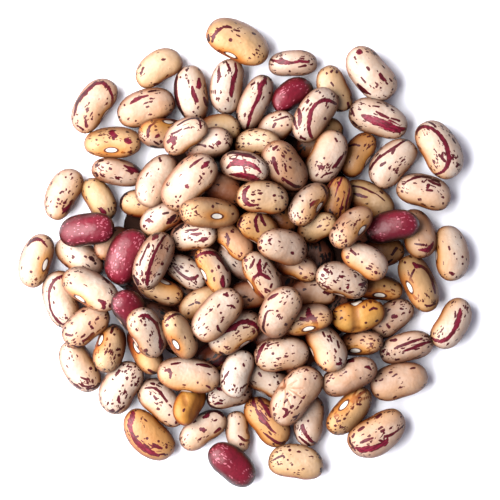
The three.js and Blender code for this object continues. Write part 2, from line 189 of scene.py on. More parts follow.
def bean_axes(pose):
    """Which way a bean's length, its back and its upper flat point."""
    ch, sh = math.cos(pose["heading"]), math.sin(pose["heading"])
    cp, sp = math.cos(pose["pitch"]), math.sin(pose["pitch"])
    cr, sr = math.cos(pose["roll"]), math.sin(pose["roll"])
    level = np.array((-sh, ch, 0.0))
    above = np.array((-ch * sp, -sh * sp, cp))
    along = np.array((ch * cp, sh * cp, sp))
    return along, level * cr + above * sr, above * cr - level * sr


def balls_at(bean, pose):
    """Where the middles of its balls lie, with heights above the middle of the bean."""
    along, back, _ = bean_axes(pose)
    s, t = bean["balls"][:, 0], bean["balls"][:, 1]
    return (
        pose["x"] + s * along[0] + t * back[0],
        pose["y"] + s * along[1] + t * back[1],
        s * along[2] + t * back[2],
    )


def heights_needed(bean, x, y, near):
    """How high each ball has to lie to be clear of the floor and of the balls near it."""
    floor = bean["balls"][:, 2] + FLOOR_GAP
    if not len(near):
        return floor
    gap = bean["balls"][:, 2, None] * BALL_SHARE + near[None, :, 3]
    squared = (x[:, None] - near[None, :, 0]) ** 2 + (y[:, None] - near[None, :, 1]) ** 2
    room = gap * gap - squared
    over = np.where(room > 0, near[None, :, 2] + np.sqrt(np.maximum(room, 0)), -np.inf)
    return np.maximum(floor, over.max(axis=1))


def resting_slope(s, heights):
    """The slope along its length at which a bean lies lowest on the heights that it has to clear."""
    left, right = s < 0, s > 0
    level = heights[s == 0].max()
    sp, hp = s[left][:, None], heights[left][:, None]
    sq, hq = s[right][None, :], heights[right][None, :]
    level = max(level, (hp + ((hq - hp) * -sp) / (sq - sp)).max())
    least = ((heights[right] - level) / s[right]).max()
    most = ((heights[left] - level) / s[left]).min()
    slope = least if abs(least) < abs(most) else most
    steepest = math.sin(math.radians(STEEPEST))
    return min(steepest, max(-steepest, slope))


laid = []
laid_balls = np.zeros((0, 4))


def rest_at(bean, x, y, heading, roll):
    """The pose in which a bean comes to rest when it is let down here."""
    by_x = np.abs(laid_balls[:, 0] - x) < NEAR
    near = laid_balls[by_x & (np.abs(laid_balls[:, 1] - y) < NEAR)]
    pose = {"x": x, "y": y, "z": 0.0, "heading": heading, "pitch": 0.0, "roll": roll}
    s = bean["balls"][:, 0]
    for _ in range(SETTLES):
        bx, by, bz = balls_at(bean, pose)
        heights = heights_needed(bean, bx, by, near) - (bz - s * math.sin(pose["pitch"]))
        pose["pitch"] = rounded(math.asin(resting_slope(s, heights)), FINE_STEP)
    bx, by, bz = balls_at(bean, pose)
    pose["z"] = rounded((heights_needed(bean, bx, by, near) - bz).max(), FINE_STEP)
    return pose


def lay(bean, found, row=None):
    """Adds a bean to the heap in the pose that was found for it."""
    global laid_balls
    pose = dict(found)
    for key in ("heading", "roll"):
        pose[key] = rounded(found[key], TURN_STEP)
    for key in ("x", "y", "z"):
        pose[key] = rounded(found[key], PLACE_STEP)
    bx, by, bz = balls_at(bean, pose)
    radii = bean["balls"][:, 2] * BALL_SHARE
    laid_balls = np.vstack((laid_balls, np.stack((bx, by, pose["z"] + bz, radii), axis=1)))
    laid.append({**bean, "pose": pose, "row": row})


def lay_near(row, reach):
    """Lays a bean of the tables where it lies lowest near its place."""
    x, y, heading, length, roll, kind = row
    bean = make_bean(length, kind)
    best = rest_at(bean, x, y, math.radians(heading), math.radians(roll))
    least_cost = best["z"]
    for _ in range(PLACE_TRIES):
        dx = swing(reach)
        dy = swing(reach)
        turned = math.radians(heading + swing(TURN_REACH))
        rolled = math.radians(roll + swing(ROLL_REACH))
        pose = rest_at(bean, x + dx, y + dy, turned, rolled)
        cost = pose["z"] + DRIFT_COST * math.sqrt(dx * dx + dy * dy)
        if cost < least_cost:
            best, least_cost = pose, cost
    lay(bean, best, row)


def hides_one(bean, x, y, heading):
    """Whether a bean would lie over one that has its own place."""
    for share in POINTS_ALONG:
        px = x + math.cos(heading) * share * bean["a"]
        py = y + math.sin(heading) * share * bean["a"]
        for other in laid:
            if not other["row"]:
                continue
            pose = other["pose"]
            c, s = math.cos(pose["heading"]), math.sin(pose["heading"])
            dx, dy = px - pose["x"], py - pose["y"]
            along = (dx * c + dy * s) / (other["a"] + KEPT_CLEAR)
            across = (dy * c - dx * s) / (other["b"] + KEPT_CLEAR)
            if along * along + across * across < 1:
                return True
    return False


def shake_down(bean, start):
    """The pose after small shakes, each kept only where it lets the bean sink."""
    best = start
    for i in range(SHAKES):
        fade = 1 - (SHAKE_FADE * i) / SHAKES
        x = best["x"] + swing(SHAKE_REACH * fade)
        y = best["y"] + swing(SHAKE_REACH * fade)
        heading = best["heading"] + math.radians(swing(SHAKE_TURN * fade))
        roll = best["roll"] + math.radians(swing(SHAKE_TURN * fade))
        pose = rest_at(bean, x, y, heading, roll)
        if pose["z"] < best["z"]:
            best = pose
    return best


def fill(limit, radius, keep_clear):
    """Lays beans by rule, each as deep as it goes, until no more stay under the limit."""
    misses = 0
    while misses < MISSES:
        kind = RULE_LAID_KINDS[len(laid) % len(RULE_LAID_KINDS)]
        bean = make_bean(MEAN_LENGTH + LENGTH_SPREAD * (draw() + draw() - 1), kind)
        roll = math.radians(swing(FILL_ROLL))
        best, deepest = None, math.inf
        for _ in range(FILL_TRIES):
            out = radius * math.sqrt(draw())
            turn = 2 * math.pi * draw()
            heading = 2 * math.pi * draw()
            x = HEAP_MIDDLE[0] + out * math.cos(turn)
            y = HEAP_MIDDLE[1] + out * math.sin(turn)
            if keep_clear and hides_one(bean, x, y, heading):
                continue
            pose = rest_at(bean, x, y, heading, roll)
            depth = rounded(pose["z"] - limit(x, y), FINE_STEP)
            if depth < deepest:
                best, deepest = pose, depth
        if best:
            best = shake_down(bean, best)
        too_high = not best or best["z"] > limit(best["x"], best["y"])
        if too_high or (keep_clear and hides_one(bean, best["x"], best["y"], best["heading"])):
            misses += 1
        else:
            lay(bean, best)


def wanted_height(x, y):
    """The height of the mound that the beans are meant to fill, at this place."""
    dx = (x - HEAP_MIDDLE[0]) / MOUND_RADIUS
    dy = (y - HEAP_MIDDLE[1]) / MOUND_RADIUS
    inside = max(0, 1 - dx * dx - dy * dy)
    return FLOOR_LEVEL + (PEAK - FLOOR_LEVEL) * math.pow(inside, MOUND_POWER)


for row in ON_THE_FLOOR:
    lay_near(row, FLOOR_REACH)
for row in ROUND_THE_EDGE:
    lay_near(row, REACH)
fill(lambda x, y: FLOOR_LEVEL + FLOOR_SLACK, SPREAD_RADIUS, True)
fill(lambda x, y: wanted_height(x, y) - LAYER_DROP, SECOND_LAYER_RADIUS, False)
for row in (*BETWEEN, *ON_TOP):
    lay_near(row, REACH)
fill(lambda x, y: wanted_height(x, y) + TOP_SLACK, TOP_LAYER_RADIUS, True)


# --- Core under the beans ----------------------------------------------------------------------
# What lies out of sight under the upper beans: a low mound that stands for the beans below, made as one
# dark lump that is raised ring by ring from a flat underside and stays well below the top layer. Its
# near black is painted shade, for the gaps between the beans.
CORE_RADIUS = 35
CORE_BELOW = 9
CORE_LEVELS = 5
CORE_CORNERS = 48
CORE_FIRST_RING = 0.6
CORE_LEAST_RISE = 0.4
CORE_ROUNDINGS = 2
CORE_LUMP = 1.2
CORE_LUMP_SHARE = 0.5
CORE_LUMP_TURN = 0.6
CORE_FOOT = 3
MM = 0.001
CORE_CLOUDS = 180
CORE_GRAIN_DEEP = 0.0006


def srgb(hex_colour):
    """The linear colour, with alpha, of an sRGB hex value."""
    shares = [int(hex_colour[i : i + 2], 16) / 255 for i in (1, 3, 5)]
    return (*[s / 12.92 if s <= 0.04045 else ((s + 0.055) / 1.055) ** 2.4 for s in shares], 1)


def add(tree, kind, inputs=None, output=0, **settings):
    """Adds a node with its settings, links or sets its inputs, and gives back one of its outputs."""
    made = tree.nodes.new("ShaderNode" + kind)
    for key, value in settings.items():
        setattr(made, key, value)
    for key, value in (inputs or {}).items():
        if isinstance(value, bpy.types.NodeSocket):
            tree.links.new(value, made.inputs[key])
        else:
            made.inputs[key].default_value = value
    return made.outputs[output] if len(made.outputs) else None


def new_material(name):
    """A material with an empty tree of nodes."""
    material = bpy.data.materials.new(name)
    material.use_nodes = True
    material.node_tree.nodes.clear()
    return material, material.node_tree


bpy.ops.object.select_all(action="DESELECT")
bpy.ops.mesh.primitive_circle_add(vertices=CORE_CORNERS, radius=CORE_RADIUS * MM, fill_type="NGON")
core = bpy.context.object
core.name = "heap_core"
bpy.ops.object.mode_set(mode="EDIT")
bpy.ops.mesh.select_all(action="SELECT")
height_so_far = 0.0
radius_so_far = CORE_RADIUS
for level in range(CORE_LEVELS):
    radius = CORE_RADIUS * (1 - (level + CORE_FIRST_RING) / CORE_LEVELS)
    height = max(height_so_far + CORE_LEAST_RISE, wanted_height(radius, 0) - CORE_BELOW)
    bpy.ops.mesh.extrude_region_move(
        TRANSFORM_OT_translate={"value": (0, 0, (height - height_so_far) * MM)}
    )
    share = radius / radius_so_far
    bpy.ops.transform.resize(value=(share, share, 1), center_override=(0, 0, 0))
    height_so_far, radius_so_far = height, radius
bpy.ops.mesh.select_all(action="SELECT")
bpy.ops.mesh.normals_make_consistent(inside=False)
bpy.ops.object.mode_set(mode="OBJECT")
rounding = core.modifiers.new("rounding", "SUBSURF")
rounding.levels = rounding.render_levels = CORE_ROUNDINGS
bpy.ops.object.modifier_apply(modifier=rounding.name)
for vertex in core.data.vertices:
    x, y = vertex.co.x / MM, vertex.co.y / MM
    waves = math.sin(x * CORE_LUMP * CORE_LUMP_TURN) + math.cos(y * CORE_LUMP * CORE_LUMP_TURN)
    lump = 1 + CORE_LUMP_SHARE * waves
    sunk = CORE_LUMP * lump * MM * min(1, vertex.co.z / (CORE_FOOT * MM))
    vertex.co.z = max(0.0, vertex.co.z - sunk)
bpy.ops.object.shade_smooth()

# Seed coats under the others, painted nearly black brown as the shade deep in the heap, clouded and grainy.
# dull brown, with the dust that dry beans leave.
material, tree = new_material("seed_coats_out_of_sight_in_painted_shade")
place = add(tree, "TexCoord", output="Object")
cloud = add(tree, "TexNoise", {"Vector": place, "Scale": CORE_CLOUDS, "Detail": 4}, "Fac")
browns = {"Factor": cloud, 6: srgb("#180B07"), 7: srgb("#2C1810")}
shade = add(tree, "Mix", browns, 2, data_type="RGBA")
grit = add(tree, "Bump", {"Height": cloud, "Strength": 0.4, "Distance": CORE_GRAIN_DEEP})
shade_dark_coat = {"Base Color": shade, "Roughness": 0.9, "Normal": grit, "Specular IOR Level": 0.1}
coat = add(tree, "BsdfPrincipled", shade_dark_coat)
add(tree, "OutputMaterial", {"Surface": coat})
core.data.materials.append(material)
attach(core, "root")
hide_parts("bean_heap")


# --- Flecked beans -----------------------------------------------------------------------------
# Plump cream seed coats with short wine-brown dashes. One bean is modelled from a sphere, its
# poles turned to its ends, and each copy of it gets its own size, bend, taper and lumps.
BEAN_SIDES = 44
BEAN_RINGS = 30
BLUNTNESS = 2.35
EYE_DENT = 0.07
EYE_HALF = 0.35
TAPER = 0.07
LUMP = 0.02
LUMPS_ROUND = 2
LUMPS_ALONG = 4
LUMP_SHIFT = 6
FACE_SHARE = 0.985
COAT_SEED = 23
DRAWS_PER_BEAN = 8
MOST_DIGIT = 9
POLE_LEAST = 1e-6
FAR = 9
UPWARD = 0.12
BOLD_FROM = 0.25
BOLD_BY = 0.5
GRID_HALF = 75
EVENED_OVER = 13

# Bold marks of the beans in the order of the tables above. A mark is a run of places on the bean
# as laid in its row, seen from above: x, y and half the width of the mark there, in mm.
MARKS = {
    0: (
        (-42.9, 34.2, 0.25, -42.2, 37.6, 0.4, -40.4, 40, 0.5, -38, 42.4, 0.4, -36, 42.7, 0.45,
         -34.4, 41.4, 0.35, -33.4, 39.4, 0.3, -33.5, 36.8, 0.25),
        (-39.9, 33.2, 0.25, -39.6, 31.5, 0.4), (-39.6, 35.7, 0.35), (-42, 31.7, 0.2, -40.4, 30.7, 0.25),
        (-38.3, 33.4, 0.25), (-36.6, 34.6, 0.25), (-40.8, 39.2, 0.4, -40, 39.8, 0.35),
    ),
    1: (
        (-33.4, 29.9, 0.7, -32.6, 29, 0.5), (-32.9, 28.3, 0.3), (-34.1, 28.8, 0.25),
        (-29.5, 27.8, 0.75, -29, 27.4, 0.55), (-37.3, 28.2, 0.25), (-30.9, 24.9, 0.3, -30.2, 24.8, 0.2),
    ),
    2: (
        (-29, 37.2, 0.2, -27.4, 38.4, 0.55, -26, 38.9, 0.3, -24.4, 39.3, 0.2),
        (-24.5, 40.2, 0.2, -22.5, 40.6, 0.25), (-30.4, 37, 0.25), (-27.6, 33, 0.25), (-31.8, 34, 0.25),
    ),
    3: ((-26.3, 44.8, 0.25, -25.6, 46.3, 0.3), (-22.9, 42.2, 0.25, -22, 42.4, 0.2)),
    4: (
        (-15.3, 46.6, 0.3, -16.8, 45.2, 0.4, -17.3, 42.5, 0.45, -17.3, 40, 0.45, -16.8, 37, 0.3,
         -15.7, 34, 0.3),
        (-13.1, 41.6, 0.3, -13, 40, 0.5, -12.2, 38, 0.5), (-11.2, 43.4, 0.3, -11.4, 41.5, 0.65),
        (-10.4, 38.7, 0.25, -9.8, 36.9, 0.45), (-14.2, 45.9, 0.25, -13.7, 46.2, 0.2), (-13.3, 35.3, 0.25),
        (-12.6, 34.3, 0.25), (-15.8, 44.2, 0.25),
    ),
    5: (
        (-6.7, 46.6, 0.15, -6.9, 45, 0.35, -6.7, 43.9, 0.45, -7.3, 42.3, 0.15),
        (-4.9, 47.8, 0.2, -4.3, 46.5, 0.3, -3.9, 45.2, 0.25),
        (-2.6, 47.2, 0.25, -2.3, 45.3, 0.3, -3.1, 43.3, 0.55, -3.5, 41.3, 0.45, -4, 39.6, 0.5,
         -3.8, 38.7, 0.2),
    ),
    6: (
        (-8.4, 52.8, 0.25, -8, 54.3, 0.4, -7, 55.6, 0.4, -6, 56.1, 0.35),
        (-5.6, 56.4, 0.3, -4.8, 56.6, 0.35, -3.6, 56.3, 0.25), (-3.3, 55.7, 0.15, -1.6, 55.4, 0.25),
        (1.4, 55.1, 0.2, 2.3, 54.7, 0.25), (-3.8, 53.2, 0.4), (-9.4, 54.6, 0.2, -9.3, 53.2, 0.35),
        (-7, 50.6, 0.15, -5.6, 50.2, 0.25),
    ),
    7: (
        (4.4, 45.4, 0.3, 4.1, 43.4, 0.5, 3, 42.2, 0.65, 2.7, 40, 0.45, 2.1, 38.3, 0.5, 0.9, 36.2, 0.35,
         0.4, 34.5, 0.4, -0.4, 31.5, 0.3),
        (0.7, 42.4, 0.2, 1.5, 42.9, 0.25), (-2.9, 35.2, 0.2, -3, 33.6, 0.3), (5.3, 40.4, 0.25),
    ),
    8: (
        (6.3, 48.4, 0.2, 7.6, 48, 0.3, 9, 47.7, 0.6, 10.6, 47.5, 0.5, 12, 47.5, 0.25, 13.8, 47.9, 0.35,
         15.6, 47.7, 0.25),
        (11.1, 45.4, 0.25), (13.3, 46.4, 0.15, 15, 46.8, 0.3),
    ),
    10: (
        (21.5, 45.3, 0.3, 21.8, 45.7, 0.2), (22.9, 45.2, 0.3), (21.5, 42.5, 0.25, 22, 41.8, 0.25),
        (25.7, 37.6, 0.25, 26, 36.2, 0.35), (23, 39, 0.3),
    ),
    11: (
        (28.5, 50.2, 0.65), (27.3, 48.9, 0.25, 27.6, 48.4, 0.2), (30.4, 46.3, 0.3, 30.9, 45.7, 0.3),
        (33.6, 44.5, 0.4, 34.2, 43.6, 0.5, 35, 43.1, 0.3), (28.8, 44, 0.15, 29.9, 42.6, 0.25),
        (28.2, 42.1, 0.25, 29.4, 40.7, 0.45, 30.6, 40, 0.3, 31.4, 39.6, 0.15),
        (36.1, 43.5, 0.2, 36.6, 42.9, 0.25), (32.8, 41.5, 0.3), (33.8, 41.2, 0.25),
    ),
    12: (
        (29.3, 34.2, 0.3, 30.6, 33.5, 0.7, 32.6, 32.9, 0.9, 35, 32, 1, 37, 31.3, 0.9, 38.8, 31, 0.7,
         40.3, 31.3, 0.3),
        (32.6, 35.3, 0.2, 34, 34.5, 0.4, 35.8, 33.8, 0.3), (36.5, 33.7, 0.2, 38.6, 33.2, 0.3),
        (26.6, 35.8, 0.2, 26.9, 34.9, 0.3, 27.3, 34.1, 0.2), (26.9, 32.8, 0.15, 28, 31.7, 0.25),
        (31.8, 36.6, 0.15, 33.3, 36.5, 0.25), (29, 37, 0.25),
    ),
    13: (
        (39.5, 29, 0.2, 37.8, 27.8, 0.25, 36, 26.3, 0.35, 34.5, 25.2, 0.3, 32.8, 23.8, 0.3, 31.7, 22.3, 0.3,
         31, 20.8, 0.25),
        (36.2, 25.4, 0.35, 36.7, 26.5, 0.2), (33.6, 22.1, 0.35, 34.5, 22.8, 0.3), (37.8, 21.6, 0.25),
        (37.7, 20.5, 0.25), (32.2, 17.4, 0.25),
    ),
    14: (
        (42, 30.2, 0.2, 42.8, 31.4, 0.35, 44, 31.9, 0.4, 45.5, 31.6, 0.35, 47, 30.6, 0.4, 48.3, 29.2, 0.5,
         49.3, 27.5, 0.45, 50, 25.6, 0.55, 50.2, 23.5, 0.55, 49.7, 21.8, 0.45, 48.8, 20.6, 0.35,
         47.5, 20, 0.25, 46.7, 19.9, 0.2),
        (48.6, 25.3, 0.2, 48.3, 24.1, 0.35, 48.8, 23.4, 0.35, 49.4, 23.1, 0.3),
        (45.3, 32.9, 0.2, 46.3, 32.5, 0.3, 46.9, 31.8, 0.2), (51.1, 28.8, 0.2, 51.8, 27.8, 0.25),
        (51.4, 24.6, 0.25), (51.9, 23.9, 0.25), (52.1, 21.8, 0.25, 52.6, 22.4, 0.25),
    ),
    15: (
        (39, 17.6, 0.15, 40.3, 18.5, 0.2, 42, 19.1, 0.3, 43.6, 19.3, 0.3, 45, 19.1, 0.3, 46.2, 18.7, 0.25),
        (45.4, 18.2, 0.25, 46.6, 17.4, 0.3, 48.2, 16.6, 0.3), (46.8, 18.4, 0.2, 48.2, 17.7, 0.25),
        (45.3, 17, 0.35, 45, 16.4, 0.4), (44.6, 15.7, 0.25, 46, 15.6, 0.35), (43.9, 18, 0.25),
        (48.6, 12.1, 0.25),
    ),
    16: (
        (51, 1.4, 0.25, 51.2, 0.8, 0.3), (52.4, -0.3, 0.25), (54.5, -1.1, 0.3), (54.6, -2.8, 0.25),
        (51.5, -5.1, 0.3, 52.1, -5.4, 0.4), (48, -3.1, 0.25, 48.4, -2.4, 0.15),
    ),
    17: (
        (41.6, -3.1, 0.3, 42.6, -3.8, 0.65, 43.7, -3.6, 0.3, 45, -4.4, 0.35, 46, -5.6, 0.3, 46.8, -7, 0.3,
         47.4, -8.8, 0.35, 47.8, -10.2, 0.2),
        (42, -4.6, 0.25, 41.4, -5.8, 0.25, 41.1, -7.4, 0.25), (39.5, -3.1, 0.3),
        (42.2, -11, 0.25, 43, -11.8, 0.35), (45.2, -13.2, 0.15, 46.6, -13.4, 0.25, 48.1, -12.7, 0.15),
    ),
    18: (
        (53.8, -14.2, 0.3, 53.7, -15.6, 0.6, 53.2, -17.2, 0.6, 52.6, -18.8, 0.5, 51.6, -20.5, 0.45,
         50.4, -21.7, 0.5, 49, -22.3, 0.45, 47.6, -22, 0.35, 46.8, -21.3, 0.15),
        (52.6, -14.6, 0.2, 52.5, -16.2, 0.25),
    ),
    19: (
        (37.4, -24.2, 0.25, 38.5, -23.6, 0.3, 40, -22.9, 0.35, 41.5, -22.2, 0.3, 43, -21.6, 0.3,
         44, -21.2, 0.2),
        (39.3, -24.9, 0.12, 40.5, -24.4, 0.3, 42, -23.7, 0.4, 43.5, -22.9, 0.4, 45, -22.2, 0.35,
         46.5, -21.8, 0.3),
        (42.4, -24.1, 0.25, 43.5, -23.7, 0.2), (36.3, -22.4, 0.3, 37.4, -22.1, 0.35),
        (44.6, -20.6, 0.2, 46, -20.6, 0.25), (34.6, -25.3, 0.35), (34.6, -26.6, 0.3), (35.9, -25.7, 0.3),
    ),
    20: (
        (37.5, -16, 0.5, 38.2, -15.9, 0.5), (39.2, -13.8, 0.25, 39.8, -13.9, 0.2),
        (36.2, -18.1, 0.25, 36.8, -18.7, 0.35), (41.4, -17.4, 0.25),
    ),
    21: (
        (36, -30.1, 0.25, 36.7, -29.9, 0.25), (36.8, -31.1, 0.2, 37.8, -30.5, 0.25),
        (41.4, -29.1, 0.2, 42.4, -28.9, 0.25), (33.2, -35.7, 0.25), (37.1, -36.5, 0.2, 37.7, -36.1, 0.25),
    ),
    22: (
        (27.7, -48.9, 0.3, 29, -49.4, 0.65, 30.5, -49.1, 0.75, 32, -48.9, 0.6, 33.5, -48.3, 0.55,
         34.8, -47.8, 0.55, 35.7, -47.2, 0.25),
        (33.6, -47, 0.3, 34.6, -47.2, 0.25),
        (34.8, -46, 0.3, 36, -45.8, 0.4, 37.2, -45.1, 0.25, 38.6, -44.2, 0.15, 39.7, -43.2, 0.15),
        (28.8, -47.5, 0.25, 30, -47, 0.45, 31.8, -46.3, 0.2),
        (26.1, -46.3, 0.15, 26.2, -47.6, 0.25, 27, -48.7, 0.25, 27.5, -49.6, 0.15),
        (26.8, -46.1, 0.3, 27.3, -45.3, 0.2), (28.3, -44.6, 0.25, 29.1, -44, 0.4, 29.8, -43.6, 0.2),
        (30.6, -42.7, 0.25), (33, -41.2, 0.4, 34, -40.5, 0.25), (34, -44.6, 0.35, 34.7, -44.4, 0.25),
    ),
    23: (
        (28, -37.9, 0.25, 28.9, -38, 0.25), (22.3, -41, 0.25, 23, -40.6, 0.3),
        (24.6, -41.6, 0.25, 25, -41.4, 0.2), (22.8, -42.3, 0.2, 23.6, -42, 0.25), (22.4, -43.3, 0.3),
        (20.7, -42.7, 0.25),
    ),
    24: (
        (14.5, -43.3, 0.4, 14.8, -44.6, 0.5, 15.5, -46, 0.4, 16.4, -47.3, 0.35, 17.6, -48.1, 0.25),
        (12.8, -42.4, 0.3), (13.5, -46.1, 0.2, 14.8, -47.4, 0.3, 15.9, -48.4, 0.3), (16, -42.2, 0.3),
        (19.7, -38.5, 0.25),
    ),
    25: (
        (7, -52, 0.15, 8.2, -51.1, 0.25, 9.5, -50.4, 0.25, 9.9, -51, 0.15), (11, -49, 0.3),
        (19.3, -53, 0.3, 19.4, -53.7, 0.3), (11.9, -52.5, 0.25), (10.7, -51.4, 0.25), (10.9, -53.8, 0.25),
        (8.5, -52.8, 0.25),
    ),
    26: (
        (1.8, -37.3, 0.3, 2.1, -38.4, 0.5, 2.8, -39.3, 0.2),
        (2.8, -39.7, 0.25, 4, -41.2, 0.5, 4.5, -42.1, 0.6, 5.6, -42.8, 0.4, 6.9, -44.2, 0.3,
         8.4, -45.2, 0.15),
        (3.3, -37, 0.3, 4.6, -38.5, 0.5, 5.7, -39.8, 0.45, 6.5, -41.1, 0.3),
        (5.2, -45.3, 0.15, 7, -46.4, 0.3, 8.6, -47.4, 0.35, 9.8, -47.7, 0.35, 10.7, -47.1, 0.2),
        (8, -47.9, 0.25),
    ),
    27: (
        (-0.9, -42, 0.25), (1.1, -43.6, 0.25, 1.2, -44.5, 0.3),
        (-1.1, -45, 0.2, -0.3, -45.8, 0.35, 0.4, -46.4, 0.3, 1.5, -46.4, 0.25), (-0.6, -47.2, 0.3),
    ),
    29: (
        (-10.1, -41.7, 0.25, -9, -41.2, 0.5, -8.5, -40.6, 0.25), (-12.9, -42.7, 0.2, -12.2, -42.4, 0.25),
        (-11.1, -44.4, 0.35, -10.4, -44.7, 0.5, -9.7, -44.8, 0.2), (-15.7, -48, 0.25),
        (-7.6, -45.7, 0.3, -6.4, -44.9, 0.4),
        (-13.5, -42, 0.12, -11.5, -41.2, 0.15, -9.5, -40.4, 0.2, -7, -40.3, 0.3, -5.8, -41, 0.3,
         -5.2, -42, 0.2),
    ),
    30: (
        (-28.2, -40.3, 0.5, -28.6, -41.8, 0.7, -29, -43.4, 0.6, -28.5, -45, 0.4, -27.8, -46.8, 0.5,
         -26.5, -48.2, 0.65, -25, -49.3, 0.65, -23.4, -50.2, 0.6, -21.8, -50.9, 0.3),
        (-23.3, -47.8, 0.2, -22.3, -48.5, 0.5, -21, -49, 0.3), (-21.8, -50.6, 0.15, -20.4, -50.5, 0.25),
        (-27, -46, 0.3), (-24.6, -46.5, 0.3), (-21.7, -47.2, 0.3), (-19.8, -48.8, 0.3),
        (-25.5, -48, 0.3, -24.3, -48.9, 0.35),
    ),
    31: (
        (-24.9, -34, 0.2, -23.5, -34, 0.25, -22.3, -34.3, 0.3, -21.2, -35.3, 0.35, -20.5, -36.5, 0.3,
         -19.8, -37.6, 0.35),
        (-23.5, -32.9, 0.2, -22.6, -33.2, 0.3), (-22.9, -36.1, 0.25, -22.4, -36.9, 0.35),
        (-23.7, -35.6, 0.25), (-22.2, -38.1, 0.3), (-21, -37.8, 0.25), (-19.4, -41.1, 0.25),
        (-17.9, -43.2, 0.35),
    ),
    32: (
        (-32.3, -32.6, 0.25), (-31.4, -31.4, 0.3, -30.6, -30.5, 0.35),
        (-31, -37, 0.3, -31.1, -38, 0.4, -30.9, -38.6, 0.25), (-30.7, -35.6, 0.25), (-29.8, -34.2, 0.25),
        (-29.7, -36.3, 0.25, -29.2, -35.6, 0.25), (-28.7, -32.7, 0.25, -28.5, -32.3, 0.2),
        (-28.9, -30.6, 0.25), (-28.4, -29.6, 0.15, -27.6, -29.7, 0.25), (-26.6, -29.7, 0.25),
        (-27.7, -34.2, 0.3), (-27.2, -32.4, 0.25), (-26, -33.4, 0.25), (-29.9, -38.7, 0.25),
        (-33.4, -40.7, 0.4, -32.7, -40.5, 0.4), (-32.3, -41.3, 0.2, -31, -40.4, 0.25, -29.8, -39.4, 0.2),
    ),
    33: (
        (-33, -20.8, 0.35, -32.7, -19.8, 0.3), (-31, -19.2, 0.35, -30.2, -20.4, 0.35), (-34, -22.4, 0.25),
        (-32.2, -21.4, 0.25), (-31.5, -25.2, 0.25, -30.9, -25, 0.25), (-30.9, -26.5, 0.35),
    ),
    34: (
        (-44.2, -23.3, 0.45), (-41.3, -31.2, 0.15, -40.5, -31.6, 0.3, -39.5, -31.9, 0.25), (-38.8, -29, 0.35),
        (-37.6, -28.7, 0.2, -37.5, -29.6, 0.25), (-43, -33, 0.25, -42.2, -33.5, 0.45, -41.3, -34.1, 0.2),
        (-41.8, -32.8, 0.2, -40.6, -33.5, 0.25, -39, -33.6, 0.2, -38, -33.3, 0.15),
        (-40, -34, 0.15, -38.5, -34.1, 0.25, -37.4, -33.6, 0.25, -36.9, -32.8, 0.15),
    ),
    35: (
        (-45, -5.6, 0.2, -46.5, -6.1, 0.35, -47.8, -6.9, 0.35, -48.7, -8.3, 0.4, -49.2, -10, 0.3,
         -49.2, -12, 0.25, -48.9, -14, 0.25, -48.2, -15.8, 0.3, -47, -17.2, 0.4, -46.2, -17.8, 0.3),
        (-45.4, -18, 0.35, -44.3, -18.2, 0.4), (-48, -12.3, 0.25, -47.9, -12.9, 0.2), (-45, -16.4, 0.3),
        (-48.3, -17.5, 0.25),
    ),
    36: (
        (-54.6, 1.7, 0.25, -53.6, 2.9, 0.4, -52.3, 3.4, 0.45, -51, 3.1, 0.3, -50, 2, 0.2, -49.5, 1.3, 0.15),
        (-53.6, -4.8, 0.3), (-53.4, -8, 0.25),
    ),
    37: (
        (-44, -1.3, 0.35), (-47, 2.9, 0.25, -46.3, 3.1, 0.2), (-40, -1.1, 0.2, -38.8, -1.8, 0.3),
        (-38.4, -2.4, 0.3),
    ),
    38: ((-36.2, 10.9, 0.4, -35.5, 10, 0.6), (-39.3, 16.4, 0.25), (-33, 12.4, 0.25), (-32.6, 11.2, 0.3)),
    39: (
        (-45.5, 15.3, 0.25, -44.9, 15.7, 0.2), (-46, 13.7, 0.35), (-45.6, 12.6, 0.25), (-44.6, 12.8, 0.3),
        (-44.6, 10.9, 0.5, -43.7, 11.6, 0.45, -42.9, 12.7, 0.3, -42.5, 13.4, 0.2), (-44, 19.2, 0.25),
        (-46.5, 11.9, 0.25),
    ),
    40: (
        (-31, 21.6, 0.2, -29.4, 20.7, 0.5, -28, 20.3, 0.65, -26.6, 20.9, 0.4),
        (-30.6, 20.3, 0.15, -29, 19.8, 0.3), (-38, 21.9, 0.25, -37.5, 22.7, 0.15),
        (-37.3, 23, 0.2, -36.3, 23.2, 0.25), (-38.2, 20.2, 0.2, -37.9, 19.5, 0.3), (-33.2, 18.8, 0.25),
    ),
    41: ((-31.5, 6.3, 0.25), (-27.2, 5.6, 0.25)),
    42: (
        (-37.6, -18.3, 0.25, -37.8, -18.9, 0.3), (-37.4, -19.5, 0.3, -36.9, -20, 0.25),
        (-36.2, -17.9, 0.25, -35.5, -17.6, 0.25), (-39.5, -23, 0.25, -38.2, -22.4, 0.3, -37, -21.4, 0.4),
        (-42.3, -24, 0.15, -41, -24.5, 0.25, -39.5, -24.5, 0.25, -38.3, -23.9, 0.15), (-40.4, -23.7, 0.25),
        (-43.7, -21.2, 0.3, -42.7, -21.5, 0.3), (-43.9, -19.6, 0.25),
    ),
    43: (
        (-36.7, -13.1, 0.35, -35.6, -13.7, 0.55, -35.6, -15, 0.4), (-35.8, -7.3, 0.2, -34.4, -8.9, 0.25),
        (-32.7, -11.9, 0.3), (-34.1, -14.7, 0.35),
    ),
    45: (
        (-8.8, -33.1, 0.2, -7.8, -33.4, 0.25),
        (-7.8, -34.5, 0.4, -6.8, -34.5, 0.5, -6.1, -35.4, 0.3, -5.4, -35.6, 0.2),
        (-8.9, -38.3, 0.2, -8, -38.1, 0.35, -7, -38.3, 0.2),
        (-10.5, -35.5, 0.2, -10.8, -37, 0.25, -10.3, -38.5, 0.3, -9, -39.3, 0.25, -7.5, -39.6, 0.2),
        (-1.3, -36.5, 0.3),
    ),
    46: (
        (6.2, -30.4, 0.3, 7.2, -31, 0.45, 8, -30.5, 0.6, 9.3, -31.2, 0.4), (7.1, -32, 0.25),
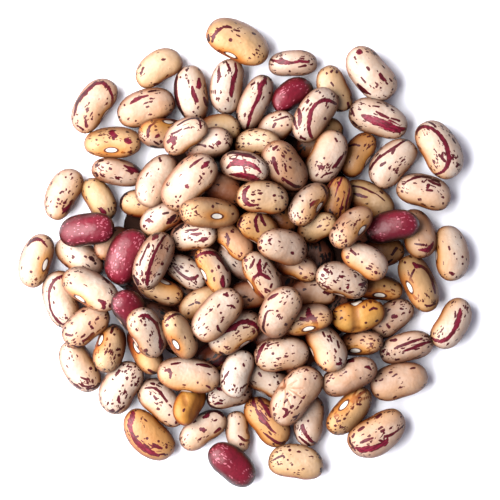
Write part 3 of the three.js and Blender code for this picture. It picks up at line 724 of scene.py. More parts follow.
        (7.4, -33.5, 0.3, 7.8, -34, 0.2), (2.6, -31.5, 0.35, 3.1, -32.1, 0.25),
    ),
    47: (
        (21, -32, 0.2, 22, -31.1, 0.35, 23.3, -30.4, 0.3),
        (25.5, -28.8, 0.25, 26.5, -28.2, 0.4, 27.6, -28, 0.45),
        (30.7, -29.4, 0.25, 31.5, -29.4, 0.4, 32.3, -30.1, 0.15),
    ),
    48: ((37.6, -0.8, 0.3, 38.8, 0.8, 0.35), (36, -3, 0.3, 37.6, -2, 0.2)),
    49: (
        (42, 1, 0.15, 43, 0.8, 0.25, 44.4, 0.7, 0.25),
        (43, -0.5, 0.2, 44.5, -0.6, 0.45, 45.4, -0.6, 0.6, 46.2, 0.3, 0.45, 46.7, 1.4, 0.2), (44.4, 8.6, 0.3),
    ),
    50: ((27.1, 27.5, 0.2, 28.4, 28, 0.25, 29.6, 27.7, 0.25),),
    52: ((6.9, 32.5, 0.3, 7.4, 33.3, 0.3), (9, 32.7, 0.25), (7, 34, 0.15, 9, 34.6, 0.25, 10.6, 35, 0.2)),
    53: ((-7.9, 33, 0.25),),
    54: (
        (-23.4, 31.8, 0.2, -24.6, 30.9, 0.25, -25, 29.6, 0.35, -24.9, 28.2, 0.35),
        (-23, 28.2, 0.2, -22.5, 28.6, 0.5), (-23.3, 27.1, 0.2, -22.2, 26.6, 0.25), (-21.6, 27.3, 0.3),
        (-24, 26, 0.25, -22.5, 25.7, 0.25, -21, 25.6, 0.15), (-20.7, 27, 0.3, -20.7, 26, 0.25),
        (-17.4, 32.9, 0.25, -16.5, 32.1, 0.3), (-19.2, 29.7, 0.25, -18.4, 29.8, 0.2), (-19.2, 28.4, 0.3),
    ),
    55: (
        (-27.4, 16, 0.35, -29.4, 15.6, 0.25, -30.8, 14.3, 0.3, -31.5, 12.4, 0.35, -31.2, 10.9, 0.25),
        (-26.4, 12.9, 0.3, -25.4, 13, 0.15), (-25.4, 9.3, 0.3), (-28.7, 9.3, 0.25),
    ),
    57: (
        (-28.2, -24.5, 0.3), (-25, -30.3, 0.25, -23.8, -31.2, 0.35, -22.5, -32, 0.35, -21.6, -32.7, 0.25),
        (-22.4, -31, 0.2, -21.5, -32, 0.25),
    ),
    58: (
        (27.3, 15.3, 0.2, 28.5, 15, 0.45, 29.8, 14.6, 0.35, 30.8, 14.6, 0.15),
        (26.5, 17.2, 0.2, 29, 17, 0.25, 31, 16.2, 0.25, 33, 15.5, 0.15, 35, 14, 0.15), (35, 10.8, 0.25),
        (26, 16, 0.25),
    ),
    59: (
        (22.2, 37.2, 0.3, 20.5, 38, 0.45, 18.7, 38, 0.4, 17, 37, 0.4, 15.9, 35.4, 0.45, 15.5, 33.5, 0.55,
         15.2, 31.5, 0.4, 15.6, 29.6, 0.4, 16, 28.9, 0.35),
        (15.3, 38.5, 0.2, 15, 37.7, 0.35), (12.9, 36, 0.3, 13.2, 34, 0.5, 12.9, 32, 0.35),
        (11.6, 33.8, 0.35, 11.9, 32.4, 0.3, 12.4, 31, 0.25), (19.4, 33.5, 0.35),
        (13.2, 29, 0.25, 14.4, 28.4, 0.25),
    ),
    60: ((35, -8.3, 0.3),),
    61: ((27.4, -25.4, 0.25, 28.3, -25, 0.3, 28.9, -25.5, 0.2), (31.9, -23.7, 0.3), (32.9, -22.8, 0.25)),
    67: ((0.9, -11.8, 0.35),),
    68: ((-4.8, 4.2, 0.25, -4.4, 2.8, 0.35, -4.8, 1.3, 0.3),),
    69: (
        (-24.6, 7.7, 0.2, -23.8, 7.9, 0.45, -22.8, 7.4, 0.2),
        (-19.2, 7, 0.3, -18.2, 7.9, 0.6, -17.3, 8.8, 0.4), (-20.2, 9.4, 0.25, -19, 9.6, 0.25),
        (-23.3, 8.8, 0.25), (-24.9, 6.5, 0.3),
    ),
    70: (
        (-17.4, -3, 0.15, -16.2, -4.3, 0.25, -14.9, -5.5, 0.35, -13.4, -6.2, 0.4, -12, -6.1, 0.45,
         -11.2, -5.4, 0.3),
        (-18.5, -0.4, 0.25, -17.2, -1, 0.2), (-19.1, -1.5, 0.25, -17.4, -2.5, 0.15),
        (-18.8, -2.8, 0.25, -17.9, -3.4, 0.15), (-15.4, -3.1, 0.3, -14.9, -3.4, 0.2), (-13.3, -1.4, 0.25),
        (-14.6, -8.7, 0.2, -13.5, -9, 0.25, -12.6, -9, 0.2),
    ),
    71: (
        (-14.6, -12.6, 0.15, -13.5, -12, 0.25), (-12.9, -11.6, 0.3, -12, -11.7, 0.25), (-10.4, -12.4, 0.25),
        (-14.5, -14.5, 0.3),
    ),
    72: (
        (-11.2, -0.9, 0.3, -10.3, -0.2, 0.3, -9, 0.3, 0.4, -7.5, 0.4, 0.45, -6, -0.2, 0.55, -4.8, -1.4, 0.5,
         -4, -2.6, 0.35, -3.3, -4, 0.3),
        (-7.1, -4.2, 0.35), (-5.6, -3, 0.3, -5.5, -3.4, 0.3),
        (-4.4, -5.5, 0.35, -4.5, -6.8, 0.6, -4.2, -7.8, 0.45),
    ),
    73: (
        (-17.8, 3.8, 0.2, -16.7, 5, 0.4, -15.6, 6, 0.4, -14.8, 6.5, 0.3),
        (-13.8, 5.1, 0.15, -12, 5.3, 0.35, -11, 5.6, 0.2),
        (-12.7, 4.2, 0.2, -11.3, 4.3, 0.4, -10.1, 4.6, 0.25),
        (-10.6, 2.7, 0.2, -9.4, 3.3, 0.5, -8.6, 3.4, 0.3), (-14.1, 2.8, 0.25), (-12.4, 2.9, 0.25),
        (-17, 2.4, 0.25),
    ),
    74: (
        (2.1, 8.5, 0.3, 1.5, 7.2, 0.4, 1.6, 5.8, 0.35, 2.1, 4.4, 0.35),
        (2.7, 8.4, 0.35, 3.2, 7, 0.4, 3.9, 5.9, 0.3), (-1.9, 7.6, 0.25, -2.6, 5.9, 0.3),
        (-2.8, 5, 0.25, -2.3, 3.9, 0.25, -1.5, 2.7, 0.3, -0.6, 1.6, 0.35, 0.6, 1, 0.3, 1.4, 0.9, 0.15),
    ),
    75: (
        (2.3, -1.4, 0.25, 2, -3, 0.55, 2.5, -4.8, 0.45, 1.7, -5.3, 0.3, 0.9, -5.9, 0.35, 0.8, -7.3, 0.3,
         1.6, -8.8, 0.35, 2.8, -10, 0.35, 3.6, -10.8, 0.25),
        (2.6, -4.9, 0.35, 3.8, -5.4, 0.45, 4.9, -6.1, 0.3), (3.9, -2.1, 0.25, 3.3, -3.5, 0.25),
        (0.8, -1.4, 0.2, 0.4, -2.7, 0.35, -0.1, -3.5, 0.25), (-1.2, -1.7, 0.4), (4.8, -4.3, 0.25),
        (5.5, -7.3, 0.25, 5.2, -8.1, 0.25), (3.8, -8.5, 0.2, 4.9, -9, 0.3),
    ),
    76: ((12.8, -6.1, 0.3), (15.7, -6.3, 0.3)),
    77: ((-1.2, 28.3, 0.3), (1.2, 25.7, 0.25, 1.7, 26.2, 0.2), (0, 28.2, 0.25)),
    78: (
        (-12.2, 25.6, 0.3, -11, 26, 0.3, -9.9, 25.9, 0.15, -8.9, 25.7, 0.3), (-5.6, 26.8, 0.5),
        (-6.4, 28.7, 0.25), (-7.8, 25.8, 0.25, -6.9, 25.4, 0.25), (-3.2, 26.9, 0.15, -2.4, 26, 0.25),
    ),
    82: ((-21.8, -12.8, 0.2, -20.8, -13.4, 0.35), (-18, -12, 0.3)),
    83: (
        (-21.4, 4, 0.25, -22.5, 1.8, 0.3, -23.2, 0, 0.3, -23.8, -2, 0.4, -24.3, -4.5, 0.4, -24.5, -6.5, 0.45,
         -24.5, -8.3, 0.4),
        (-23.2, 4.7, 0.3, -23.7, 3.6, 0.75, -24.2, 2.8, 0.3),
        (-25, 1.8, 0.2, -25.7, 0, 0.2, -26.2, -1.8, 0.25, -26.7, -3, 0.2), (-27.4, -3.8, 0.3),
        (-26.7, -3.8, 0.25), (-28, -6.5, 0.25, -27.3, -7.6, 0.3, -26.7, -8.6, 0.3),
        (-26, -5.5, 0.25, -25.8, -6.3, 0.25), (-25.7, -7.5, 0.3), (-21.9, 1.9, 0.15, -21.9, 0.7, 0.25),
        (-21.3, -3, 0.35), (-23.9, -0.2, 0.25), (-24, 1.3, 0.25), (-21.8, -5.6, 0.25),
    ),
    84: (
        (-26.9, -15.4, 0.2, -25.8, -15, 0.45, -24.7, -15.2, 0.4, -23.5, -16.1, 0.35, -22.6, -17.1, 0.4,
         -22.1, -18.3, 0.3, -21.7, -20, 0.25, -21.4, -21.3, 0.45, -21.1, -22.8, 0.65, -21, -24, 0.45,
         -21.3, -25, 0.25),
        (-25.3, -17.4, 0.3), (-23.9, -19.9, 0.3), (-25.1, -23.8, 0.45),
        (-24.9, -24.7, 0.25, -23.8, -25.4, 0.25, -22.7, -25.8, 0.25, -21.8, -25.9, 0.15), (-22.4, -25, 0.25),
        (-25.8, -13.5, 0.25),
    ),
    85: (
        (-20.6, -16.2, 0.2, -19.6, -15.5, 0.25, -18.5, -14.8, 0.3, -17, -14.6, 0.3, -15.8, -15.3, 0.35,
         -15, -16.5, 0.2, -14.6, -17.8, 0.15),
        (-20.3, -17.3, 0.35), (-21.2, -15.7, 0.25),
        (-14, -20.4, 0.15, -13.3, -21.5, 0.3, -12.9, -22.7, 0.3, -13, -23.8, 0.15), (-19.4, -13.7, 0.3),
    ),
    86: (
        (-19.5, -27, 0.2, -18.4, -26.7, 0.3, -17.3, -26.5, 0.15),
        (-21, -28.7, 0.25, -20.1, -28.4, 0.4, -19.5, -29.3, 0.35, -19.6, -30.3, 0.25),
        (-13.2, -26.6, 0.15, -11.8, -26.7, 0.35, -10.4, -27, 0.35, -9.5, -27.2, 0.15),
        (-10.5, -31.8, 0.2, -9.7, -32.2, 0.3),
    ),
    87: (
        (-1.5, -27.5, 0.2, -1.3, -28, 0.25), (-3.4, -28.7, 0.25),
        (-4.9, -29.3, 0.15, -5.6, -30.4, 0.3, -6.1, -31.5, 0.2, -6.7, -32.4, 0.2),
        (-1.4, -33.4, 0.2, -0.5, -32.6, 0.25), (-4.7, -34.2, 0.25),
    ),
    88: (
        (-18, 26.8, 0.35, -16.9, 27.7, 0.55, -16.6, 26.5, 0.5),
        (-17.2, 28.8, 0.25, -15.8, 29.4, 0.25, -14.6, 30.1, 0.15),
        (-15.9, 30.9, 0.15, -14.2, 32, 0.2, -12.5, 32.8, 0.2, -11, 32.9, 0.2, -10.2, 32, 0.25,
         -10, 30.4, 0.2),
        (-14.2, 30, 0.15, -12.9, 30.5, 0.25),
    ),
    89: ((-20.9, 24.2, 0.25, -20.6, 23.5, 0.3), (-16.4, 22.7, 0.2, -16.8, 21.6, 0.25)),
    90: (
        (-12.8, 21, 0.25, -11.5, 22, 0.35, -10, 22.8, 0.2, -9.4, 23.1, 0.12),
        (-9.8, 20.6, 0.3, -8.9, 21.4, 0.6, -8.1, 22, 0.25), (-13.9, 16.3, 0.5),
        (-11.1, 17.1, 0.2, -10.5, 17.6, 0.25), (-9.6, 19.1, 0.3), (-13, 12.6, 0.25, -12.3, 13.3, 0.25),
        (-16.8, 14, 0.25), (-16.3, 13, 0.25), (-16.5, 11.6, 0.3), (-17.8, 11.8, 0.25),
    ),
    92: (
        (9.4, -37.4, 0.2, 9.9, -36.6, 0.25),
        (9.1, -38.9, 0.25, 10, -39.2, 0.4, 10.2, -40.3, 0.35, 9.5, -41, 0.3), (9.8, -35.2, 0.3),
        (11, -38.4, 0.3, 11.5, -38.1, 0.3), (12.5, -38.6, 0.2, 12.8, -38.1, 0.25), (11.4, -39.8, 0.3),
        (11.9, -41, 0.25, 12.7, -40.6, 0.25), (14, -31.1, 0.25), (16.4, -30.8, 0.25), (11.7, -35.8, 0.3),
    ),
    93: (
        (20.7, -20.2, 0.2, 21, -21.2, 0.25), (22.3, -21.2, 0.25, 22.7, -22.7, 0.2),
        (24, -22.7, 0.25, 24.3, -24.4, 0.25), (23.3, -28.3, 0.3, 24.2, -28.2, 0.45),
        (19, -28.6, 0.25, 19.5, -28.9, 0.2), (20.4, -29.3, 0.3), (24.4, -27.4, 0.25),
    ),
    94: (
        (30.2, -13.8, 0.35), (31.6, -14.8, 0.25, 32.5, -14.2, 0.3, 33.4, -14.6, 0.25), (32, -12.7, 0.35),
        (30.4, -17.8, 0.3), (33, -17.7, 0.25, 33.4, -17.5, 0.2),
    ),
    95: (
        (18.8, -4.7, 0.3, 19.7, -5.6, 0.3), (20.2, -5.2, 0.15, 20.5, -6, 0.25), (18.2, -6.2, 0.4),
        (22.4, -6.8, 0.3, 22.9, -7.1, 0.25), (23.2, -5.8, 0.25), (20.8, -7.8, 0.25, 21.4, -8.4, 0.2),
        (17.9, -8.6, 0.2, 19.5, -9.4, 0.25), (27, -9.4, 0.25, 28.2, -9.4, 0.45, 28.9, -8.9, 0.2),
        (24.1, -9.7, 0.4), (22.2, -9.9, 0.3), (20.6, -10.6, 0.25, 22.3, -11.3, 0.15),
        (24.3, -11.1, 0.3, 25.5, -11, 0.15),
    ),
    96: (
        (25.2, -0.3, 0.3, 26.2, -1.2, 0.3), (24.2, -1.9, 0.4), (26.9, -1.2, 0.25), (27.7, -3.2, 0.25),
        (28.9, -4.7, 0.25, 29.8, -5, 0.25), (31.2, -6, 0.3), (32, -6.1, 0.25),
    ),
    97: (
        (5, -22.4, 0.2, 4.2, -23.3, 0.35, 3.6, -24.7, 0.45, 3.2, -26.3, 0.3, 3.1, -27.5, 0.15),
        (5.5, -23, 0.3), (6.9, -24.9, 0.3), (7.7, -27.9, 0.3),
    ),
    98: (
        (-6.9, -20, 0.3, -5.5, -19, 0.5, -4, -18.2, 0.6, -3.3, -17.5, 0.5, -2, -16.6, 0.5, -0.5, -16.4, 0.6,
         1, -16.8, 0.55, 2, -17.7, 0.35, 2.6, -19.2, 0.2, 2.4, -20.5, 0.15),
        (-1.3, -18, 0.25, -0.4, -17.8, 0.25), (-8.5, -20.7, 0.3), (-0.1, -21.2, 0.3), (0.1, -21.5, 0.25),
        (-6.7, -24.5, 0.2, -5.6, -25.1, 0.3, -4.8, -25.4, 0.2),
    ),
    99: (
        (23.3, 27.6, 0.2, 23.7, 26.9, 0.3),
        (25.4, 23.7, 0.12, 24.6, 22.7, 0.35, 23.6, 21.3, 0.4, 22.7, 20.4, 0.35),
        (18.6, 21, 0.15, 19.5, 20.7, 0.45, 19.2, 19.9, 0.2), (21.2, 21.1, 0.3),
        (20, 18.4, 0.15, 21.2, 18.9, 0.25, 22.4, 19.2, 0.15), (20.4, 22.7, 0.25), (18.6, 21.9, 0.25),
    ),
    100: (
        (6.3, 26.4, 0.35, 7.2, 27.2, 0.25), (6.3, 24.2, 0.4, 6.7, 22.8, 0.4, 7.4, 21.2, 0.35, 8, 20.2, 0.2),
        (8.8, 19.6, 0.25, 10.4, 18.4, 0.35, 12, 17.7, 0.35, 13.4, 17.5, 0.3, 14.6, 18, 0.15),
        (10.5, 24.2, 0.35), (9.3, 22.3, 0.2, 9.7, 21.2, 0.25),
    ),
    101: (
        (-3.8, 24, 0.3, -2.5, 24.3, 0.3, -1, 24.1, 0.4, 0.5, 24, 0.45, 2, 23.8, 0.4, 3.2, 23.3, 0.25),
        (-3.6, 20.3, 0.2, -2.6, 21.4, 0.5, -1.2, 22, 0.75, 0.8, 21.9, 0.7, 2.5, 21.6, 0.55, 4, 20.8, 0.4,
         4.9, 20, 0.2),
        (-3.2, 22.7, 0.15, -1.9, 22.7, 0.3),
        (-2.8, 18.9, 0.15, -1, 18.9, 0.5, 1, 18.8, 0.75, 3, 18.5, 0.7, 4.8, 18, 0.35),
        (0.5, 20.9, 0.2, 1, 19.7, 0.3),
    ),
    102: (
        (16.2, -14.8, 0.4, 16.3, -16.2, 0.7, 17.5, -17, 0.6, 18.4, -18.3, 0.4, 18.6, -19.5, 0.3),
        (14.4, -17.2, 0.4, 16, -17.4, 0.5), (14.6, -19.8, 0.2, 16, -20, 0.35, 17.3, -20.4, 0.2),
        (16.8, -19.1, 0.25),
    ),
    103: (
        (25.1, 8.8, 0.3), (21.3, 4.7, 0.35), (22, 5.5, 0.25), (23.3, 4.1, 0.3), (24.5, 1.7, 0.3),
        (24.7, 0.8, 0.25),
    ),
    104: (
        (13.1, 15.1, 0.15, 14.2, 16.4, 0.25, 15.5, 17.1, 0.25, 17, 17, 0.25, 18.2, 16, 0.25, 19, 14.5, 0.25,
         19.2, 13, 0.15),
        (15.3, 11.5, 0.4, 16.1, 12, 0.6, 17.1, 12.7, 0.3), (16.7, 11.3, 0.3, 16.4, 10.7, 0.25),
        (12.4, 13.3, 0.25), (13.1, 12.2, 0.25), (13.2, 9.4, 0.25), (12.1, 9, 0.25), (14.2, 7.9, 0.25),
    ),
    105: (
        (-0.2, 16.6, 0.3, -1.2, 15.6, 0.45, -1.5, 14.3, 0.5, -1.2, 13, 0.5, -0.2, 12, 0.4, 1, 12, 0.3,
         2.3, 12.2, 0.15),
        (-2.6, 13.8, 0.3), (6, 14.4, 0.35), (8, 13.9, 0.3), (6.5, 11.1, 0.25), (7.4, 11, 0.25),
        (7.1, 16.3, 0.25), (9.2, 15.4, 0.25),
    ),
    106: ((4.8, 3.4, 0.4), (3, 3.1, 0.35), (2.6, 1.4, 0.4), (10.6, 0.5, 0.4)),
    107: ((-7.8, 11.4, 0.35), (-7.3, 9.7, 0.35, -6.6, 9.8, 0.3), (-3.6, 11.6, 0.25), (-3, 9.4, 0.3)),
    108: (
        (5, -10.8, 0.2, 5.7, -10.2, 0.4, 6.5, -9.8, 0.35, 7.5, -9.2, 0.2), (7.3, -13.5, 0.3),
        (6.3, -13.3, 0.15, 5, -13.4, 0.2, 4.4, -14.3, 0.25, 4, -16, 0.3, 3.7, -17.5, 0.3, 4, -19, 0.3,
         4.9, -19.8, 0.25, 6.5, -20.2, 0.25, 8.3, -20, 0.15),
        (9.3, -16.9, 0.35), (10.9, -15.5, 0.25),
    ),
    109: (
        (-6.4, -9.3, 0.25, -5.5, -9.5, 0.35), (-5.5, -12, 0.15, -4.4, -12, 0.3, -3.6, -12.5, 0.25),
        (-7, -13.8, 0.3), (-7.7, -17.1, 0.3, -7.5, -18, 0.3, -6.8, -18.6, 0.15),
    ),
}
# Folds in the coats of beans that shrank as they dried: how deep, and a run of places as above.
FOLDS = {
    23: (
        (0.15, (26.6, -37.4, 0.35, 28.4, -35.6, 0.5, 30.2, -34.5, 0.4)),
        (0.15, (26.9, -37.7, 0.3, 29, -36.7, 0.4, 31, -36.1, 0.3)),
        (0.15, (26.3, -37.2, 0.3, 27.2, -35.5, 0.35, 27.9, -34.3, 0.3)),
    ),
    44: (
        (0.4, (-11.4, -33.6, 1.3, -12.3, -37.2, 1.7, -14, -41.6, 1.5)),
        (0.25, (-16.6, -36.8, 0.7, -15.9, -38.6, 0.8)),
    ),
    83: ((0.35, (-20.9, 3.4, 1.1, -21.9, -1.6, 1.5, -23.9, -6.6, 1.2)),),
    92: ((0.7, (8.3, -33.2, 1.0)),),
    94: ((0.7, (28, -13, 0.9, 27.9, -16, 1.3, 27.8, -19.6, 1.4)),),
}
WRINKLED = 92
WRINKLES = 10
WRINKLES_FROM = (9.1, -33.5)
WRINKLES_TURN = (34, -84)
WRINKLE_LENGTH = 3.6
WRINKLE_UNEVEN = 0.45
WRINKLE_LENGTH_TURN = 5
WRINKLE_BOW = 0.3
WRINKLE_BOW_TURN = 3
WRINKLE_PARTS = (0.1, 0.5, 1)
WRINKLE_HALF = 0.22
WRINKLE_WIDEST = 1.2
WRINKLE_TAPER = 0.6
WRINKLE_DEEP = 0.26

coat_draws = np.random.default_rng(COAT_SEED)
for one in laid:
    one["draws"] = coat_draws.random(DRAWS_PER_BEAN)
    one["marks"] = []
    one["folds"] = []
    digits = one["kind"][1:]
    one["coat"] = [int(digit) / MOST_DIGIT for digit in digits] if digits else one["draws"][5:8]


def moved_with_the_bean(bean, mark):
    """A mark at the place where the bean has come to rest."""
    x, y, heading = bean["row"][:3]
    pose = bean["pose"]
    turn = pose["heading"] - math.radians(heading)
    places = np.array(mark, float).reshape(-1, 3)
    dx, dy = places[:, 0] - x, places[:, 1] - y
    across = pose["x"] + dx * math.cos(turn) - dy * math.sin(turn)
    up = pose["y"] + dx * math.sin(turn) + dy * math.cos(turn)
    return np.stack((across, up, places[:, 2]), axis=1)


beans_in_rows = [one for one in laid if one["row"]]
for order, marks in MARKS.items():
    bean = beans_in_rows[order]
    bean["marks"] = [moved_with_the_bean(bean, mark) for mark in marks]
for order, folds in FOLDS.items():
    bean = beans_in_rows[order]
    bean["folds"] = [(deep, moved_with_the_bean(bean, fold)) for deep, fold in folds]

# The wrinkles fan out from the eye of the one bean, long and short in turn.
bean = beans_in_rows[WRINKLED]
for step in range(WRINKLES):
    share = step / (WRINKLES - 1)
    turn = math.radians(WRINKLES_TURN[0] + (WRINKLES_TURN[1] - WRINKLES_TURN[0]) * share)
    long = WRINKLE_LENGTH * (1 + WRINKLE_UNEVEN * math.sin(WRINKLE_LENGTH_TURN * step))
    wrinkle = []
    for part in WRINKLE_PARTS:
        bowed = turn + WRINKLE_BOW * math.sin(WRINKLE_BOW_TURN * step) * part
        x = WRINKLES_FROM[0] + long * part * math.cos(bowed)
        y = WRINKLES_FROM[1] + long * part * math.sin(bowed)
        wrinkle.extend((x, y, WRINKLE_HALF * (WRINKLE_WIDEST - WRINKLE_TAPER * part)))
    bean["folds"].append((WRINKLE_DEEP, moved_with_the_bean(bean, wrinkle)))


def model_ball(sides, rings):
    """The corners and faces of a unit sphere whose poles lie along X."""
    bpy.ops.object.select_all(action="DESELECT")
    bpy.ops.mesh.primitive_uv_sphere_add(segments=sides, ring_count=rings, radius=1)
    ball = bpy.context.object
    bpy.ops.object.mode_set(mode="EDIT")
    bpy.ops.mesh.select_all(action="SELECT")
    bpy.ops.transform.rotate(
        value=math.radians(90), orient_axis="Y", orient_type="GLOBAL", center_override=(0, 0, 0)
    )
    bpy.ops.object.mode_set(mode="OBJECT")
    corners = np.array([v.co for v in ball.data.vertices])
    faces = [list(p.vertices) for p in ball.data.polygons]
    bpy.data.objects.remove(ball)
    return corners, faces


def bean_skin(bean, ball):
    """Where the corners of the ball come to lie on a bean, in mm, and what its coat is drawn by."""
    draws = bean["draws"]
    along = np.clip(ball[:, 0], -1, 1)
    radius = np.maximum(np.sqrt(np.maximum(0, 1 - along * along)), POLE_LEAST)
    side, flat = ball[:, 1] / radius, ball[:, 2] / radius
    turn = np.arctan2(flat, side)
    girth = (1 - np.abs(along) ** BLUNTNESS) ** (1 / BLUNTNESS)
    girth = girth * (1 + TAPER * (2 * draws[0] - 1) * along)
    round_it = np.sin(LUMPS_ROUND * turn + LUMP_SHIFT * draws[1])
    lumps = round_it * np.cos(LUMPS_ALONG * along + LUMP_SHIFT * draws[2])
    girth = girth * (1 + LUMP * lumps) * FACE_SHARE
    dent = np.where(side < 0, 1 - EYE_DENT * np.exp(-((along / EYE_HALF) ** 2)), 1)
    x = along * bean["a"] * FACE_SHARE
    y = side * girth * bean["b"] * dent
    z = flat * girth * bean["c"]
    bent = np.stack((x, y + bean["bend"] * (STRAIGHT_AT - along * along), z), axis=1)
    coat_mm = np.stack((x, y, z), axis=1)
    coat_way = np.stack((along, side, flat), axis=1)
    return bent, coat_mm, coat_way


BAND_LEVEL = 0.55
BAND_LEVEL_SPREAD = 0.3
BAND_HALF = 0.42
BAND_HALF_LEAST = 0.6
BAND_HALF_SPREAD = 0.9
BAND_DRIFT = 2.2
BAND_REACH = 0.9
BAND_REACH_SPREAD = 0.9


def band_field(bean, coat_mm):
    """In mm, how far inside the bold band each corner is: it runs round the back, on both flats."""
    draws = bean["draws"]
    level = (BAND_LEVEL + BAND_LEVEL_SPREAD * draws[3]) * bean["c"]
    half = BAND_HALF * (BAND_HALF_LEAST + BAND_HALF_SPREAD * draws[4])
    inside = half - np.abs(np.abs(coat_mm[:, 2]) - level)
    turned = np.arctan2(coat_mm[:, 1] / bean["b"], coat_mm[:, 0] / bean["a"])
    middle = math.pi / 2 + (draws[5] - 0.5) * BAND_DRIFT
    reach = BAND_REACH + BAND_REACH_SPREAD * draws[6]
    away = np.abs((turned - middle + math.pi) % (2 * math.pi) - math.pi)
    return np.minimum(inside, (reach - away) * bean["b"])


def mark_field(points, mark):
    """For each point, across and past the mark in its own half widths, and its distance in mm."""
    if len(mark) == 1:
        offset = (points - mark[0, :2]) / mark[0, 2]
        distance = np.hypot(offset[:, 0], offset[:, 1]) - 1
        return np.stack((offset[:, 0], offset[:, 1], distance * mark[0, 2]), axis=1)
    best = np.full((len(points), 3), float(FAR))
    last = len(mark) - 2
    for order, (start, stop) in enumerate(zip(mark, mark[1:])):
        run = stop[:2] - start[:2]
        length = np.hypot(*run)
        run = run / length
        offset = points - start[:2]
        along = offset @ run
        across = offset[:, 1] * run[0] - offset[:, 0] * run[1]
        at = np.clip(along, 0, length)
        half = start[2] + (stop[2] - start[2]) * at / length
        past = along - at
        true_gap = np.hypot(across, past)
        at_end = (past < 0) & (order == 0) | (past > 0) & (order == last)
        sideways = np.where(at_end, across, np.sign(across) * true_gap) / half
        beyond = np.where(at_end, past, 0) / half
        found = np.stack((sideways, beyond, true_gap - half), axis=1)
        nearer = found[:, 2] < best[:, 2]
        best[nearer] = found[nearer]
    return best


FOLD_FACING = 0.05
FOLD_FADE = 0.3


def folded_in(bean, placed, outward):
    """The corners of a bean with its folds pressed in, and how much of a fold each is, 0 to 1."""
    facing_up = np.clip((outward[:, 2] - FOLD_FACING) / FOLD_FADE, 0, 1)
    most = np.zeros(len(placed))
    pressed = np.zeros(len(placed))
    for deep, fold in bean["folds"]:
        found = mark_field(placed[:, :2], fold)
        near = np.exp(-(found[:, 0] ** 2) - found[:, 1] ** 2) * facing_up
        pressed = np.maximum(pressed, deep * near)
        most = np.maximum(most, near)
    return placed - outward * pressed[:, None], most


def gap_to_any(mark, others):
    """How near a mark comes to any of the others, along X and Y together, in mm."""
    steps = [np.abs(mark[:, None, :2] - other[None, :, :2]).sum(2).min() for other in others]
    return min(steps + [FAR])


def painted_fields(bean, points, upward):
    """Two fields of the nearest marks, with neighbours shared out between them, and their tone."""
    fields = [np.full((len(points), 3), float(FAR)) for _ in range(2)]
    shared_out = ([], [])
    tone = np.zeros(len(points))
    nearest = np.full(len(points), float(FAR))
    for mark in bean["marks"]:
        choice = int(gap_to_any(mark, shared_out[1]) > gap_to_any(mark, shared_out[0]))
        shared_out[choice].append(mark)
        found = mark_field(points, mark)
        nearer = found[:, 2] < fields[choice][:, 2]
        fields[choice][nearer] = found[nearer]
        closest = found[:, 2] < nearest
        nearest[closest] = found[closest, 2]
        tone[closest] = (mark[:, 2].max() - BOLD_FROM) / BOLD_BY
    for field in fields:
        field[~upward, 2] = FAR
    return fields[0], fields[1], np.clip(tone, 0, 1)


def heights_of_the_heap():
    """The height of the heap at every mm of a square grid, evened out over what lies round it."""
    heights = np.zeros((2 * GRID_HALF, 2 * GRID_HALF))
    rows, columns = np.mgrid[-GRID_HALF:GRID_HALF, -GRID_HALF:GRID_HALF]
    for x, y, z, radius in laid_balls:
        room = radius * radius - (columns - x) ** 2 - (rows - y) ** 2
        heights = np.where(room > 0, np.maximum(heights, z + np.sqrt(np.maximum(room, 0))), heights)
    window = np.ones(EVENED_OVER) / EVENED_OVER
    for axis in (0, 1):
        heights = np.apply_along_axis(np.convolve, axis, heights, window, mode="same")
    return heights


COAT_KEYS = ("mm", "way", "draw", "coat", "field", "depth", "mark_one", "mark_two")


def join_beans(name, kinds, ball, faces):
    """One mesh of all beans of these kinds, each at its place in the heap."""
    chosen = [one for one in laid if one["kind"][0] in kinds]
    count = len(ball)
    points = np.zeros((len(chosen) * count, 3))
    values = {key: np.zeros((len(chosen) * count, 3)) for key in COAT_KEYS}
    joined = []
    for order, bean in enumerate(chosen):
        rows = slice(order * count, (order + 1) * count)
        bent, coat_mm, coat_way = bean_skin(bean, ball)
        axes = np.array(bean_axes(bean["pose"]))
        start = np.array([bean["pose"][key] for key in "xyz"])
        outward = ball @ axes
        placed, fold = folded_in(bean, bent @ axes + start, outward)
        points[rows] = placed * MM
        upward = outward[:, 2] > UPWARD
        mark_one, mark_two, tone = painted_fields(bean, placed[:, :2], upward)
        # How far below the evened top of the heap each corner lies: the coat is painted darker by it, as
        # painted shade.
        cell = np.rint(placed[:, :2]).astype(int) + GRID_HALF
        depth = around[cell[:, 1], cell[:, 0]] - placed[:, 2]
        values["mm"][rows] = coat_mm
        values["way"][rows] = coat_way
        values["draw"][rows] = bean["draws"][1:4]
        values["coat"][rows] = bean["coat"]
        values["field"][rows, 0] = band_field(bean, coat_mm)
        values["field"][rows, 1] = tone
        values["field"][rows, 2] = 0 if bean["marks"] else 1
        values["depth"][rows, 0] = depth
        values["depth"][rows, 1] = fold
        values["mark_one"][rows] = mark_one
        values["mark_two"][rows] = mark_two
        joined.extend([corner + order * count for corner in face] for face in faces)
    mesh = bpy.data.meshes.new(name)
    mesh.from_pydata(points.tolist(), [], joined)
    for key, value in values.items():
        attribute = mesh.attributes.new(f"bean_{key}", "FLOAT_VECTOR", "POINT")
        attribute.data.foreach_set("vector", value.astype(np.float32).ravel())
    mesh.polygons.foreach_set("use_smooth", np.ones(len(joined), bool))
    mesh.update()
    piece = bpy.data.objects.new(name, mesh)
    bpy.context.scene.collection.objects.link(piece)
    return piece


